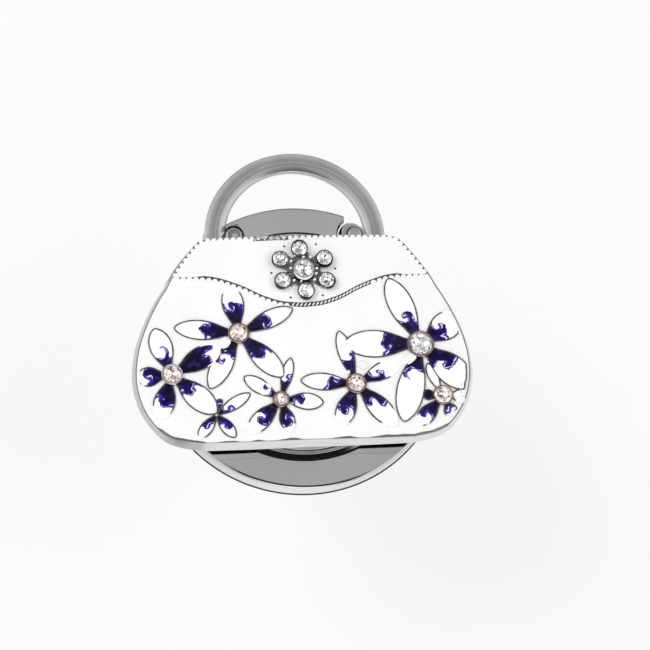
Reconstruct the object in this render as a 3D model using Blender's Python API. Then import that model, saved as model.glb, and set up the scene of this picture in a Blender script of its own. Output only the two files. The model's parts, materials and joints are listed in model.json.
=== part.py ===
"""Folding table hook for a handbag.

A round metal base with a rubber pad lies on the table. An enamelled plate in the shape
of a handbag is screwed to the base's front. The bag's handle is a bow that swivels on
the base, and the hook arm is hinged to the bow's free end and folds up behind the base.

+Z is the front of the plate, +Y runs to the handle, and the origin is the middle of the
pad's underside.
"""

import math

import bmesh
import bpy
from mathutils import Matrix, Vector

mm = 0.001

# Clearances
running_gap = 0.3 * mm
seat_gap = 0.1 * mm
pin_gap = 0.1 * mm
overrun = 3.0 * mm

# Round base, turned with a foot behind it and a raised seat in front
base_radius = 22.5 * mm
base_thickness = 3.6 * mm
base_back = 3.8 * mm
base_chamfer = 0.35 * mm
seat_step = 5.5 * mm
seat_radius = base_radius - seat_step
seat_height = 1.3 * mm
foot_step = 6.3 * mm
foot_radius = base_radius - foot_step
foot_wall = 0.5 * mm
foot_bottom = 0.5 * mm
base_front = base_back + base_thickness
base_middle = base_back + base_thickness / 2
seat_top = base_front + seat_height

# Rubber pad, glued in the foot
pad_thickness = 1.1 * mm
pad_bevel = 0.3 * mm
pad_recess_radius = foot_radius - foot_wall
pad_radius = pad_recess_radius - running_gap
foot_floor = pad_thickness + seat_gap

# Handle bow
bow_radius = 12.55 * mm
bow_width = 2.9 * mm
bow_thickness = 2.8 * mm
tab_thickness = 1.0 * mm
tab_width = 2.2 * mm
eye_radius = 1.65 * mm
eye_to_leg = 0.25 * mm
bow_lift = 0.1 * mm
leg_end_drop = 1.1 * mm
leg_clearance = 0.45 * mm
leg_end_clearance = 1.0 * mm
stop_nib_radius = 0.55 * mm
stop_nib_angle_degrees = 167.0
bow_section_shares = (
    (1.0, -0.40), (1.0, 0.36), (0.78, 0.50), (0.50, 0.88), (0.0, 1.0),
    (-0.50, 0.88), (-0.78, 0.50), (-1.0, 0.36), (-1.0, -0.40), (-0.60, -0.88), (0.60, -0.88),
)

# The two lugs at the ends of the handle, which follow the base's edge and the bow's legs
lug_inset = 4.6 * mm
lug_spread = bow_radius - bow_width / 2 - eye_radius - eye_to_leg
lug_height = base_radius - lug_inset
right_lug = Vector((lug_spread, lug_height, base_middle))
left_lug = Vector((-lug_spread, lug_height, base_middle))
bow_centre_height = lug_height + bow_lift
leg_end_height = lug_height - leg_end_drop

# Swivel at the right lug
stem_radius = 0.9 * mm
stem_length = 8.2 * mm
block_height = 1.7 * mm
neck_share = 0.8
groove_depth = 0.3 * mm
groove_width = 0.6 * mm
groove_from_end = 0.7 * mm
clip_width = 0.7 * mm
clip_mouth_share = 0.8
washer_width = 0.7 * mm
washer_thickness = 0.3 * mm
washer_wave = 0.1 * mm
washer_waves = 3
clip_pocket_wall = 5.5 * mm
pocket_margin = 0.4 * mm
right_notch_margin = 0.95 * mm
right_notch_radius = eye_radius + right_notch_margin
rivet_radius = 0.55 * mm
rivet_head_radius = 1.12 * mm
rivet_head_height = 0.45 * mm
head_crown_share = 0.7

# Hinge at the left lug
hinge_pin_radius = 0.7 * mm
hinge_head_radius = 1.1 * mm
left_notch_margin = 0.4 * mm
left_notch_radius = hinge_head_radius + left_notch_margin
hinge_head_rise = 0.25 * mm
hinge_foot_radius = 1.3 * mm
hinge_foot_height = 0.5 * mm
hinge_washer_radius = 1.7 * mm
hinge_washer_thickness = 0.3 * mm
left_tab_top = base_back - running_gap
left_tab_bottom = left_tab_top - tab_thickness
hinge_washer_bottom = left_tab_bottom - seat_gap - hinge_washer_thickness

# Hook arm, folded round the foot
arm_width = 3.0 * mm
arm_thickness = 1.1 * mm
arm_to_foot = 0.9 * mm
arm_radius = foot_radius + arm_to_foot + arm_width / 2
arm_bevel_share = 0.25
arm_blend_degrees = 26.0
arm_flare_degrees = 24.0
arm_flare = 1.6 * mm
arm_tip_short = 2.5 * mm
arm_step_degrees = 6.0
arm_tip_turns_degrees = (30.0, 55.0, 75.0)
arm_top = hinge_washer_bottom - seat_gap
arm_bottom = arm_top - arm_thickness
arm_round_degrees = math.degrees(arm_width / 2 / arm_radius)
arm_tip_share = (lug_spread - arm_tip_short) / (arm_radius + arm_flare)
arm_end_degrees = 360.0 - math.degrees(math.acos(arm_tip_share)) - arm_round_degrees

# Keeper magnet behind the base
magnet_radius = 1.5 * mm
magnet_height = 2.0 * mm
magnet_angle_degrees = 205.0

# Plate in the shape of a bag
plate_half_width = 25.5 * mm
plate_top = 16.2 * mm
plate_drop = 16.7 * mm
plate_back = seat_top + seat_gap
plate_crown = 3.3 * mm
dome_radius = 250.0 * mm
dome_step = 6.5 * mm
plate_height = plate_top + plate_drop
crown_height = plate_back + plate_crown
side_shares = (
    (0.62, 0.0), (0.80, 0.042), (0.93, 0.152), (0.992, 0.29), (0.99, 0.43), (0.945, 0.562),
    (0.86, 0.705), (0.769, 0.812), (0.68, 0.912), (0.605, 0.982), (0.54, 1.0),
)
side_steps = 3

# Enamel in its two recesses
rim_width = 0.75 * mm
flap_rim_width = 1.2 * mm
flap_wall_width = 1.1 * mm
enamel_thickness = 0.6 * mm
enamel_drop = 0.05 * mm
recess_depth = enamel_thickness + enamel_drop + seat_gap
flap_line_drop = 6.6 * mm
flap_line_height = plate_top - flap_line_drop
flap_dip = 4.6 * mm
flap_line_shares = (
    (1.0, 0.0), (0.70, 0.02), (0.53, 0.10), (0.45, 0.20), (0.34, 0.42), (0.23, 0.72),
    (0.12, 0.93), (0.0, 1.0),
)

# Stones and the settings that hold them
bezel_wall = 0.3 * mm
bezel_rise = 0.5 * mm
stone_rise = 0.45 * mm
stone_girdle = 0.15 * mm
stone_table_share = 0.6
hub_margin = 0.35 * mm

# Brooch on the flap: one stone in the middle and six round it
brooch_lift = 0.5 * mm
brooch_height = flap_line_height + brooch_lift
brooch_ring_radius = 3.6 * mm
brooch_turn_degrees = 4.0
brooch_ring_count = 6
brooch_centre_stone = 1.4 * mm
brooch_ring_stone = 1.12 * mm
brooch_wall = 0.3 * mm
brooch_arm_width = 0.9 * mm
brooch_rise = 0.9 * mm
brooch_post_radius = 0.8 * mm
brooch_seat_floor = 0.2 * mm

# Screws that hold the plate
screw_spacing = 9.0 * mm
screw_radius = 0.7 * mm
screw_head_radius = 1.5 * mm
screw_head_height = 1.0 * mm
screw_reach = 1.5 * mm
screw_slot_width = 0.4 * mm
screw_slot_depth = 0.4 * mm

# Flowers as shares of the plate's half width: place and bezel radius, then each petal's
# angle in degrees, length and width
flower_shares = (
    ((-0.3804, 0.0078), 0.0647, (
        (98, 0.3098, 0.1294), (173, 0.3686, 0.1216), (242, 0.3529, 0.1176),
        (313, 0.3137, 0.1294), (385, 0.3647, 0.1098))),
    ((-0.7686, -0.2314), 0.0647, (
        (108, 0.2902, 0.1255), (183, 0.1961, 0.1176), (255, 0.2667, 0.1216),
        (317, 0.2902, 0.1294), (389, 0.2824, 0.1216))),
    ((-0.1490, -0.3961), 0.0510, (
        (75, 0.2627, 0.0706), (146, 0.2510, 0.0863), (225, 0.2667, 0.1059),
        (284, 0.2000, 0.0941), (355, 0.2431, 0.0902))),
    ((0.2902, -0.3059), 0.0627, (
        (26, 0.2941, 0.1020), (105, 0.3373, 0.0902), (176, 0.3059, 0.0902),
        (247, 0.2745, 0.1216), (312, 0.2980, 0.1255))),
    ((0.6843, -0.0627), 0.0824, (
        (36, 0.3020, 0.1608), (112, 0.4039, 0.1608), (180, 0.3843, 0.1608),
        (255, 0.4471, 0.1569), (319, 0.3529, 0.1569))),
    ((0.7922, -0.3882), 0.0608, (
        (4, 0.1529, 0.0745), (112, 0.1333, 0.0549), (174, 0.1059, 0.0549),
        (227, 0.2353, 0.0941), (296, 0.1333, 0.0784))),
    ((-0.4980, -0.4863), 0.0000, (
        (28, 0.2196, 0.0706), (90, 0.1804, 0.0471), (232, 0.1686, 0.0706),
        (308, 0.1647, 0.0706))),
)
button_share = 0.0392
button_radius = button_share * plate_half_width
petal_edge_gap = 0.4 * mm
petal_shares = ((0.0, 0.50), (0.22, 0.80), (0.55, 1.0), (0.82, 0.74), (0.94, 0.40))

# Facets on the round shapes
base_facets = 64
pad_facets = 48
small_facets = 16
stone_facets = 10
quarter_steps = 6
cup_steps = 9
bow_steps = 26

# What moves with the handle, and what moves with the hook
swivelling_pieces = (
    "handle_bow", "swivel_block", "handle_rivet", "swivel_clip", "swivel_washer", "hinge_pin",
)
hook_pieces = ("hook_arm", "hinge_washer")

colours = {
    "chrome": ((0.62, 0.62, 0.64), 0.12, 1.0),
    "dark_metal": ((0.34, 0.29, 0.28), 0.25, 1.0),
    "rubber": ((0.03, 0.03, 0.03), 0.8, 0.0),
    "magnet": ((0.45, 0.45, 0.46), 0.35, 1.0),
    "white_enamel": ((0.90, 0.89, 0.88), 0.15, 0.0),
    "purple_enamel": ((0.06, 0.02, 0.20), 0.15, 0.0),
    "crystal": ((0.85, 0.80, 0.80), 0.05, 0.0),
}


def clear_scene():
    for item in list(bpy.data.objects):
        bpy.data.objects.remove(item)


def finish(name):
    """Return the material of this name, made the first time it is asked for."""
    found = bpy.data.materials.get(name)
    if found:
        return found
    colour, roughness, metallic = colours[name]
    found = bpy.data.materials.new(name)
    found.use_nodes = True
    shader = found.node_tree.nodes["Principled BSDF"]
    shader.inputs["Base Color"].default_value = (*colour, 1.0)
    shader.inputs["Roughness"].default_value = roughness
    shader.inputs["Metallic"].default_value = metallic
    return found


def solid(name, shape, material=None):
    """Put a bmesh into the scene as an object whose faces point out."""
    bmesh.ops.recalc_face_normals(shape, faces=shape.faces)
    mesh = bpy.data.meshes.new(name)
    shape.to_mesh(mesh)
    shape.free()
    made = bpy.data.objects.new(name, mesh)
    bpy.context.collection.objects.link(made)
    if material:
        mesh.materials.append(finish(material))
    return made


def combine(target, tool, operation):
    """Join, cut or intersect the target with the tool, which is used up."""
    modifier = target.modifiers.new(operation, "BOOLEAN")
    modifier.operation = operation
    modifier.solver = "EXACT"
    modifier.object = tool
    graph = bpy.context.evaluated_depsgraph_get()
    result = bpy.data.meshes.new_from_object(target.evaluated_get(graph))
    target.modifiers.clear()
    target.data = result
    bpy.data.objects.remove(tool)
    return target


def cut(target, tool):
    return combine(target, tool, "DIFFERENCE")


def join(target, tool):
    return combine(target, tool, "UNION")


def keep_inside(target, tool):
    return combine(target, tool, "INTERSECT")


def shade_round(made, angle_degrees=35):
    made.data.shade_smooth()
    made.data.set_sharp_from_angle(angle=math.radians(angle_degrees))
    return made


def polar(radius, degrees, centre=(0.0, 0.0)):
    """A point in the XY plane at a distance and angle from a centre."""
    turn = math.radians(degrees)
    return (centre[0] + radius * math.cos(turn), centre[1] + radius * math.sin(turn))


def bridge(shape, first, second):
    """Close the strip between two rings of vertices; a ring of one is a pole."""
    count = max(len(first), len(second))
    for index in range(count):
        following = (index + 1) % count
        corners = []
        if len(first) > 1:
            corners += [first[index], first[following]]
        else:
            corners += [first[0]]
        if len(second) > 1:
            corners += [second[following], second[index]]
        else:
            corners += [second[0]]
        shape.faces.new(corners)


def turned(name, profile, facets, material=None, centre=(0.0, 0.0), closed=False):
    """Turn a profile of (radius, height) points about an upright axis.

    A point on the axis is the tip of a cone, or closes a flat end with one face.
    """
    shape = bmesh.new()
    rings = []
    flat_ends = [
        not closed and profile[0][1] == profile[1][1],
        not closed and profile[-1][1] == profile[-2][1],
    ]
    first = 1 if flat_ends[0] else 0
    last = len(profile) - 1 if flat_ends[1] else len(profile)
    for radius, height in profile[first:last]:
        if radius == 0.0:
            rings.append([shape.verts.new((centre[0], centre[1], height))])
            continue
        ring = []
        for index in range(facets):
            x, y = polar(radius, 360.0 * index / facets, centre)
            ring.append(shape.verts.new((x, y, height)))
        rings.append(ring)
    for first, second in zip(rings, rings[1:]):
        bridge(shape, first, second)
    if closed:
        bridge(shape, rings[-1], rings[0])
    if flat_ends[0]:
        shape.faces.new(rings[0])
    if flat_ends[1]:
        shape.faces.new(rings[-1])
    return solid(name, shape, material)


def rod(radius, low, high, centre, facets=small_facets):
    """A plain upright cylinder, as a tool for cutting or joining."""
    profile = ((0.0, low), (radius, low), (radius, high), (0.0, high))
    return turned("rod", profile, facets, None, centre)


def lying_rod(radius, near, far, x, z, facets=small_facets):
    """A cylinder along Y."""
    shape = bmesh.new()
    rings = []
    for y in (near, far):
        rings.append([])
        for index in range(facets):
            across, up = polar(radius, 360.0 * index / facets, (x, z))
            rings[-1].append(shape.verts.new((across, y, up)))
    bridge(shape, rings[0], rings[1])
    shape.faces.new(rings[0])
    shape.faces.new(rings[1])
    return solid("lying_rod", shape)


def block(low, high):
    """A box between two corners."""
    shape = bmesh.new()
    bmesh.ops.create_cube(shape, size=1.0)
    for vertex in shape.verts:
        for axis in range(3):
            middle = (low[axis] + high[axis]) / 2
            vertex.co[axis] = middle + vertex.co[axis] * (high[axis] - low[axis])
    return solid("block", shape)


def prism(outline, low, high):
    """Extrude a closed outline in the XY plane between two heights."""
    shape = bmesh.new()
    floor = [shape.verts.new((x, y, low)) for x, y in outline]
    roof = [shape.verts.new((x, y, high)) for x, y in outline]
    bridge(shape, floor, roof)
    shape.faces.new(floor)
    shape.faces.new(roof)
    bmesh.ops.triangulate(shape, faces=[face for face in shape.faces if len(face.verts) > 4])
    return solid("prism", shape)


def swept(name, stations, material=None):
    """Join rings of points, one for each station of a sweep, and close both ends."""
    shape = bmesh.new()
    rings = [[shape.verts.new(point) for point in ring] for ring in stations]
    for first, second in zip(rings, rings[1:]):
        bridge(shape, first, second)
    shape.faces.new(rings[0])
    shape.faces.new(rings[-1])
    return solid(name, shape, material)


def curve_through(points, steps):
    """Read a smooth curve through all the points, Catmull-Rom fashion."""
    extended = [points[0]] + list(points) + [points[-1]]
    read = []
    for before, start, end, after in zip(extended, extended[1:], extended[2:], extended[3:]):
        for step in range(steps):
            t = step / steps
            place = []
            for axis in range(2):
                a, b, c, d = before[axis], start[axis], end[axis], after[axis]
                bend = (2 * a - 5 * b + 4 * c - d) * t * t + (3 * b - a - 3 * c + d) * t * t * t
                place.append((2 * b + (c - a) * t + bend) / 2)
            read.append(tuple(place))
    read.append(tuple(points[-1]))
    return read


def inset(outline, distance):
    """Move each point of a closed, counter-clockwise outline inwards."""
    moved = []
    count = len(outline)
    for index, (x, y) in enumerate(outline):
        before = outline[index - 1]
        after = outline[(index + 1) % count]
        along = Vector((after[0] - before[0], after[1] - before[1])).normalized()
        moved.append((x - along.y * distance, y + along.x * distance))
    return moved


def dome_height(x, y):
    """Height of the plate's crowned front above a place on it."""
    return crown_height - (x * x + y * y) / (2 * dome_radius)


def highest_under(place, radius):
    """The crown's height at the uphill side of a round piece."""
    uphill = Vector(place) * (1 - radius / Vector(place).length)
    return dome_height(uphill.x, uphill.y)


def dome_slab(top_offset, bottom_offset=None, flat_bottom=0.0):
    """A slab over the whole plate whose top, and if asked its bottom, follow the crown."""
    reach_x = plate_half_width + overrun
    low_y = -plate_drop - overrun
    high_y = plate_top + overrun
    columns = math.ceil(2 * reach_x / dome_step)
    rows = math.ceil((high_y - low_y) / dome_step)
    shape = bmesh.new()
    layers = []
    for is_top in (False, True):
        grid = []
        for row in range(rows + 1):
            y = low_y + (high_y - low_y) * row / rows
            line = []
            for column in range(columns + 1):
                x = -reach_x + 2 * reach_x * column / columns
                if is_top:
                    z = dome_height(x, y) + top_offset
                elif bottom_offset is None:
                    z = flat_bottom
                else:
                    z = dome_height(x, y) + bottom_offset
                line.append(shape.verts.new((x, y, z)))
            grid.append(line)
        layers.append(grid)
    for grid in layers:
        for row in range(rows):
            for column in range(columns):
                a, b = grid[row][column], grid[row][column + 1]
                c, d = grid[row + 1][column + 1], grid[row + 1][column]
                shape.faces.new((a, b, c))
                shape.faces.new((a, c, d))
    floor_edge, roof_edge = (border(grid) for grid in layers)
    bridge(shape, floor_edge, roof_edge)
    return solid("dome_slab", shape)


def border(grid):
    """The vertices round the edge of a grid, in order."""
    bottom = grid[0][:-1]
    right = [line[-1] for line in grid[:-1]]
    top = grid[-1][:0:-1]
    left = [line[0] for line in grid[:0:-1]]
    return bottom + right + top + left


def plate_outline():
    """The bag's outline, counter-clockwise, from its right side curve and the mirror of it."""
    points = []
    for across_share, up_share in side_shares:
        points.append((across_share * plate_half_width, up_share * plate_height - plate_drop))
    right_side = curve_through(points, side_steps)
    left_side = [(-x, y) for x, y in reversed(right_side)]
    return right_side + left_side


def flap_zone(lower):
    """Everything above the flap's line, which is moved down by some distance."""
    points = []
    for across_share, dip_share in flap_line_shares:
        x = across_share * plate_half_width
        points.append((x, flap_line_height - dip_share * flap_dip - lower))
    right = curve_through(points, 2)
    left = [(-x, y) for x, y in reversed(right[:-1])]
    high = plate_top + overrun
    edge = plate_half_width + overrun
    level = right[0][1]
    corners = [(edge, level), (edge, high), (-edge, high), (-edge, level)]
    return corners + left[::-1] + right[::-1]


def enamel_field(rim, low, high):
    return prism(inset(plate_outline(), rim), low, high)


def zone_tool(lower):
    return prism(flap_zone(lower), -overrun, crown_height + 2 * overrun)


def body_field(clearance):
    """The space of the body's enamel, as a tall prism."""
    field = enamel_field(rim_width + clearance, 0.0, crown_height + overrun)
    return cut(field, zone_tool(flap_wall_width / 2 + clearance))


def flap_field(clearance):
    """The space of the flap's enamel, as a tall prism."""
    field = enamel_field(flap_rim_width + clearance, 0.0, crown_height + overrun)
    return keep_inside(field, zone_tool(-flap_wall_width / 2 - clearance))


def recess_slab():
    return dome_slab(overrun, -recess_depth)


def enamel_slab():
    return dome_slab(-enamel_drop, -enamel_drop - enamel_thickness)


def hub_radius(bezel_radius):
    if bezel_radius:
        return bezel_radius + seat_gap + hub_margin
    return button_radius


def petal_root(half, hub):
    """Half the angle, in degrees, that a petal takes up on its hub."""
    return math.degrees(math.asin(petal_shares[0][1] * half / hub))


def flower_outline(centre, bezel_radius, petals):
    """A hub with its petals as one outline, counter-clockwise."""
    hub = hub_radius(bezel_radius)
    outline = []
    for index, (degrees, reach, width) in enumerate(petals):
        half = width / 2
        root = petal_root(half, hub)
        along = Vector(polar(1.0, degrees))
        side = Vector((along.y, -along.x))
        right = []
        left = []
        for length_share, width_share in petal_shares[1:]:
            out = hub + (reach - hub) * length_share
            middle = Vector(centre) + along * out
            right.append(tuple(middle + side * half * width_share))
            left.append(tuple(middle - side * half * width_share))
        outline.append(polar(hub, degrees - root, centre))
        outline += right
        outline.append(polar(reach, degrees, centre))
        outline += reversed(left)
        outline.append(polar(hub, degrees + root, centre))
        following = petals[(index + 1) % len(petals)]
        start = degrees + root
        span = (following[0] - petal_root(following[2] / 2, hub) - start) % 360.0
        for step in (1, 2):
            outline.append(polar(hub, start + span * step / 3, centre))
    return outline


def flower_sizes():
    """Each flower's place, bezel radius and petals, in lengths."""
    sizes = []
    for (across, up), bezel_share, petals in flower_shares:
        place = (across * plate_half_width, up * plate_half_width)
        grown = [(degrees, reach * plate_half_width, width * plate_half_width)
                 for degrees, reach, width in petals]
        sizes.append((place, bezel_share * plate_half_width, grown))
    return sizes


def flower_tool(spec, shrink):
    centre, bezel_radius, petals = spec
    outline = inset(flower_outline(centre, bezel_radius, petals), shrink)
    return prism(outline, plate_back, crown_height + overrun / 2)


def flower_space(spec, shrink):
    """A flower's space, kept just inside the edge of the body's enamel.

    The flower itself is smaller than its space all round, but as thick as the enamel.
    """
    margin = seat_gap - shrink
    slab = dome_slab(margin - enamel_drop, -enamel_drop - enamel_thickness - margin)
    space = keep_inside(flower_tool(spec, shrink), slab)
    return keep_inside(space, body_field(seat_gap + petal_edge_gap + shrink))


def make_base():
    profile = (
        (0.0, foot_floor), (pad_recess_radius, foot_floor), (pad_recess_radius, foot_bottom),
        (foot_radius, foot_bottom), (foot_radius, base_back),
        (base_radius - base_chamfer, base_back), (base_radius, base_back + base_chamfer),
        (base_radius, base_front - base_chamfer), (base_radius - base_chamfer, base_front),
        (seat_radius, base_front), (seat_radius, seat_top), (0.0, seat_top),
    )
    base = turned("base_disc", profile, base_facets, "chrome")
    high = base_front + overrun
    low = foot_bottom
    cut(base, prism(left_notch_outline(), low, high))
    cut(base, prism(right_notch_outline(), low, high))
    cut_swivel_bore(base)
    cut_screw_holes(base)
    magnet_place = polar(arm_radius, magnet_angle_degrees)
    pocket_top = base_back + magnet_height + 2 * seat_gap
    cut(base, rod(magnet_radius + seat_gap, low, pocket_top, magnet_place))
    shade_round(base)


def left_notch_outline():
    """Round at the lug, and open to the left, where the handle's leg passes the base."""
    far = base_radius + overrun
    leg_inside = bow_radius - bow_width / 2 - leg_clearance
    leg_below = leg_end_height - leg_end_clearance
    mouth = []
    for step in range(2 * quarter_steps + 1):
        mouth.append(polar(left_notch_radius, 90.0 * step / quarter_steps - 90.0, left_lug.xy))
    leg_space = [
        (-leg_inside, mouth[-1][1]), (-leg_inside, far), (-far, far), (-far, leg_below),
        (-leg_inside, leg_below), (-leg_inside, mouth[0][1]),
    ]
    return mouth + leg_space


def right_notch_outline():
    """Round at the lug, and open above it and to the right."""
    far = base_radius + overrun
    corner = []
    for step in range(quarter_steps + 1):
        corner.append(polar(right_notch_radius, 180.0 + 90.0 * step / quarter_steps, right_lug.xy))
    return corner + [(far, corner[-1][1]), (far, far), (corner[0][0], far)]


def stem_start():
    return right_lug.y - eye_radius - seat_gap


def stem_end():
    return stem_start() - stem_length


def pocket_far_wall():
    return right_lug.y - right_notch_radius - clip_pocket_wall


def cut_swivel_bore(base):
    """Bore for the swivel's stem, and the pocket behind it for its clip and washer."""
    wide = stem_radius + clip_width + pocket_margin
    bore = lying_rod(stem_radius + pin_gap, stem_end() + stem_radius, right_lug.y,
                     right_lug.x, base_middle)
    cut(base, bore)
    near = stem_end() - pocket_margin
    pocket = block((right_lug.x - wide, near, 0.0),
                   (right_lug.x + wide, pocket_far_wall(), base_middle + wide))
    cut(base, pocket)


def cut_screw_holes(base):
    for side in (1, -1):
        place = (0.0, side * screw_spacing)
        cut(base, rod(screw_radius + seat_gap, 0.0, seat_top + overrun, place))
        head_top = foot_floor + 2 * seat_gap + screw_head_height
        cut(base, rod(screw_head_radius + seat_gap, 0.0, head_top, place))


def make_pad():
    profile = (
        (0.0, 0.0), (pad_radius - pad_bevel, 0.0), (pad_radius, pad_bevel),
        (pad_radius, pad_thickness), (0.0, pad_thickness),
    )
    shade_round(turned("rubber_pad", profile, pad_facets, "rubber"))


def make_magnet():
    low = base_back + seat_gap
    profile = ((0.0, low), (magnet_radius, low), (magnet_radius, low + magnet_height),
               (0.0, low + magnet_height))
    place = polar(arm_radius, magnet_angle_degrees)
    shade_round(turned("keeper_magnet", profile, small_facets, "magnet", place))


def make_screws():
    low = foot_floor + seat_gap
    neck = low + screw_head_height
    tip = plate_back + screw_reach
    profile = ((0.0, low), (screw_head_radius, low), (screw_head_radius, neck),
               (screw_radius, neck), (screw_radius, tip), (0.0, tip))
    for number, side in ((1, 1), (2, -1)):
        place = (0.0, side * screw_spacing)
        screw = turned(f"plate_screw_{number}", profile, small_facets, "dark_metal", place)
        half = screw_slot_width / 2
        slot = block((-overrun, place[1] - half, 0.0),
                     (overrun, place[1] + half, low + screw_slot_depth))
        cut(screw, slot)
        shade_round(screw)


def make_plate():
    plate = prism(plate_outline(), plate_back, crown_height + overrun)
    plate.name = "plate_shell"
    plate.data.materials.append(finish("chrome"))
    keep_inside(plate, dome_slab(0.0))
    cut(plate, keep_inside(body_field(0.0), recess_slab()))
    cut(plate, keep_inside(flap_field(0.0), recess_slab()))
    for side in (1, -1):
        hole_top = plate_back + screw_reach + seat_gap
        cut(plate, rod(screw_radius + seat_gap, 0.0, hole_top, (0.0, side * screw_spacing)))
    shade_round(plate)


def make_body_enamel():
    enamel = keep_inside(body_field(seat_gap), enamel_slab())
    enamel.name = "body_enamel"
    for spec in flower_sizes():
        cut(enamel, flower_space(spec, 0.0))
    enamel.data.materials.clear()
    enamel.data.materials.append(finish("white_enamel"))
    shade_round(enamel)


def make_flap_enamel():
    enamel = keep_inside(flap_field(seat_gap), enamel_slab())
    enamel.name = "flap_enamel"
    hole_radius = brooch_post_radius + seat_gap
    cut(enamel, rod(hole_radius, 0.0, crown_height + overrun, (0.0, brooch_height)))
    enamel.data.materials.clear()
    enamel.data.materials.append(finish("white_enamel"))
    shade_round(enamel)


def make_flowers():
    for number, spec in enumerate(flower_sizes(), 1):
        flower = flower_space(spec, seat_gap)
        centre, bezel_radius, petals = spec
        if bezel_radius:
            cut(flower, rod(bezel_radius + seat_gap, 0.0, crown_height + overrun, centre))
        flower.name = f"flower_{number}"
        flower.data.materials.clear()
        flower.data.materials.append(finish("purple_enamel"))
        shade_round(flower)


def cut_stone(name, place, radius, girdle):
    """A round stone: a cone below its girdle and a flat table above."""
    depth = enamel_thickness + girdle - dome_height(*place) - seat_gap
    table = girdle + stone_girdle + stone_rise
    profile = ((0.0, girdle - depth), (radius, girdle), (radius, girdle + stone_girdle),
               (radius * stone_table_share, table), (0.0, table))
    turned(name, profile, stone_facets, "crystal", place)


def make_flower_settings():
    for number, (centre, bezel_radius, petals) in enumerate(flower_sizes(), 1):
        if not bezel_radius:
            continue
        top = dome_height(*centre) + bezel_rise
        low = highest_under(centre, bezel_radius) - recess_depth + seat_gap
        inner = bezel_radius - bezel_wall
        profile = ((inner, low), (bezel_radius, low), (bezel_radius, top), (inner, top))
        ring = turned(f"bezel_{number}", profile, small_facets, "dark_metal", centre, True)
        shade_round(ring)
        girdle = top - stone_girdle - seat_gap
        cut_stone(f"stone_{number}", centre, inner - seat_gap, girdle)


def brooch_places():
    places = []
    for index in range(brooch_ring_count):
        degrees = 90.0 + brooch_turn_degrees + 360.0 * index / brooch_ring_count
        places.append(polar(brooch_ring_radius, degrees, (0.0, brooch_height)))
    return places


def brooch_outline():
    """The setting seen from the front: a middle cup, and six cups on the ends of arms."""
    middle = (0.0, brooch_height)
    hub = brooch_centre_stone + brooch_wall
    cup = brooch_ring_stone + brooch_wall
    half = brooch_arm_width / 2
    root = math.degrees(math.asin(half / hub))
    mouth = math.degrees(math.asin(half / cup))
    outline = []
    for index, place in enumerate(brooch_places()):
        degrees = 90.0 + brooch_turn_degrees + 360.0 * index / brooch_ring_count
        outline.append(polar(hub, degrees - root, middle))
        start = degrees - 180.0 + mouth
        span = 360.0 - 2 * mouth
        for step in range(cup_steps + 1):
            outline.append(polar(cup, start + span * step / cup_steps, place))
        outline.append(polar(hub, degrees + root, middle))
        gap = 360.0 / brooch_ring_count - 2 * root
        for step in (1, 2):
            outline.append(polar(hub, degrees + root + gap * step / 3, middle))
    return outline


def make_brooch():
    """The setting lies on the flap's enamel, and its post goes through to the plate."""
    level = dome_height(0.0, brooch_height)
    top = level + brooch_rise
    middle = (0.0, brooch_height)
    setting = prism(brooch_outline(), 0.0, top)
    setting.name = "brooch_setting"
    keep_inside(setting, dome_slab(overrun, seat_gap - enamel_drop))
    join(setting, rod(brooch_post_radius, level - enamel_thickness, level + enamel_thickness, middle))
    seats = [(middle, brooch_centre_stone, "brooch_stone_0")]
    for number, place in enumerate(brooch_places(), 1):
        seats.append((place, brooch_ring_stone, f"brooch_stone_{number}"))
    floor = level + seat_gap + brooch_seat_floor
    for place, radius, name in seats:
        cut(setting, rod(radius, floor, top + overrun, place))
    setting.data.materials.clear()
    setting.data.materials.append(finish("dark_metal"))
    shade_round(setting)
    girdle = top - stone_girdle - seat_gap
    for place, radius, name in seats:
        edge = radius - seat_gap
        table = girdle + stone_girdle + stone_rise
        profile = ((0.0, floor + seat_gap), (edge, girdle), (edge, girdle + stone_girdle),
                   (edge * stone_table_share, table), (0.0, table))
        turned(name, profile, stone_facets, "crystal", place)


def bow_path():
    """Places along the middle of the handle, with the direction that points outwards."""
    stations = [((bow_radius, leg_end_height), (1.0, 0.0))]
    for index in range(bow_steps + 1):
        degrees = 180.0 * index / bow_steps
        place = polar(bow_radius, degrees, (0.0, bow_centre_height))
        stations.append((place, polar(1.0, degrees)))
    stations.append(((-bow_radius, leg_end_height), (-1.0, 0.0)))
    return stations


def make_bow():
    rings = []
    for (x, y), (out_x, out_y) in bow_path():
        ring = []
        for across_share, up_share in bow_section_shares:
            across = across_share * bow_width / 2
            up = base_middle + up_share * bow_thickness / 2
            ring.append((x + out_x * across, y + out_y * across, up))
        rings.append(ring)
    bow = swept("handle_bow", rings, "chrome")
    join_right_tab(bow)
    join_left_tab(bow)
    nib_place = polar(bow_radius, stop_nib_angle_degrees, (0.0, bow_centre_height))
    join(bow, rod(stop_nib_radius, arm_bottom, base_middle, nib_place))
    shade_round(bow)


def right_tab_top():
    return base_middle + stem_radius - block_height / 2 - seat_gap - pin_gap


def join_right_tab(bow):
    """Strip and eye that lie under the swivel block's eye."""
    top = right_tab_top()
    low = top - tab_thickness
    half = tab_width / 2
    strip = block((right_lug.x, right_lug.y - half, low), (bow_radius, right_lug.y + half, top))
    join(bow, strip)
    join(bow, rod(eye_radius, low, top, right_lug.xy))
    cut(bow, rod(rivet_radius + pin_gap, low - overrun, top + overrun, right_lug.xy))


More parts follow.
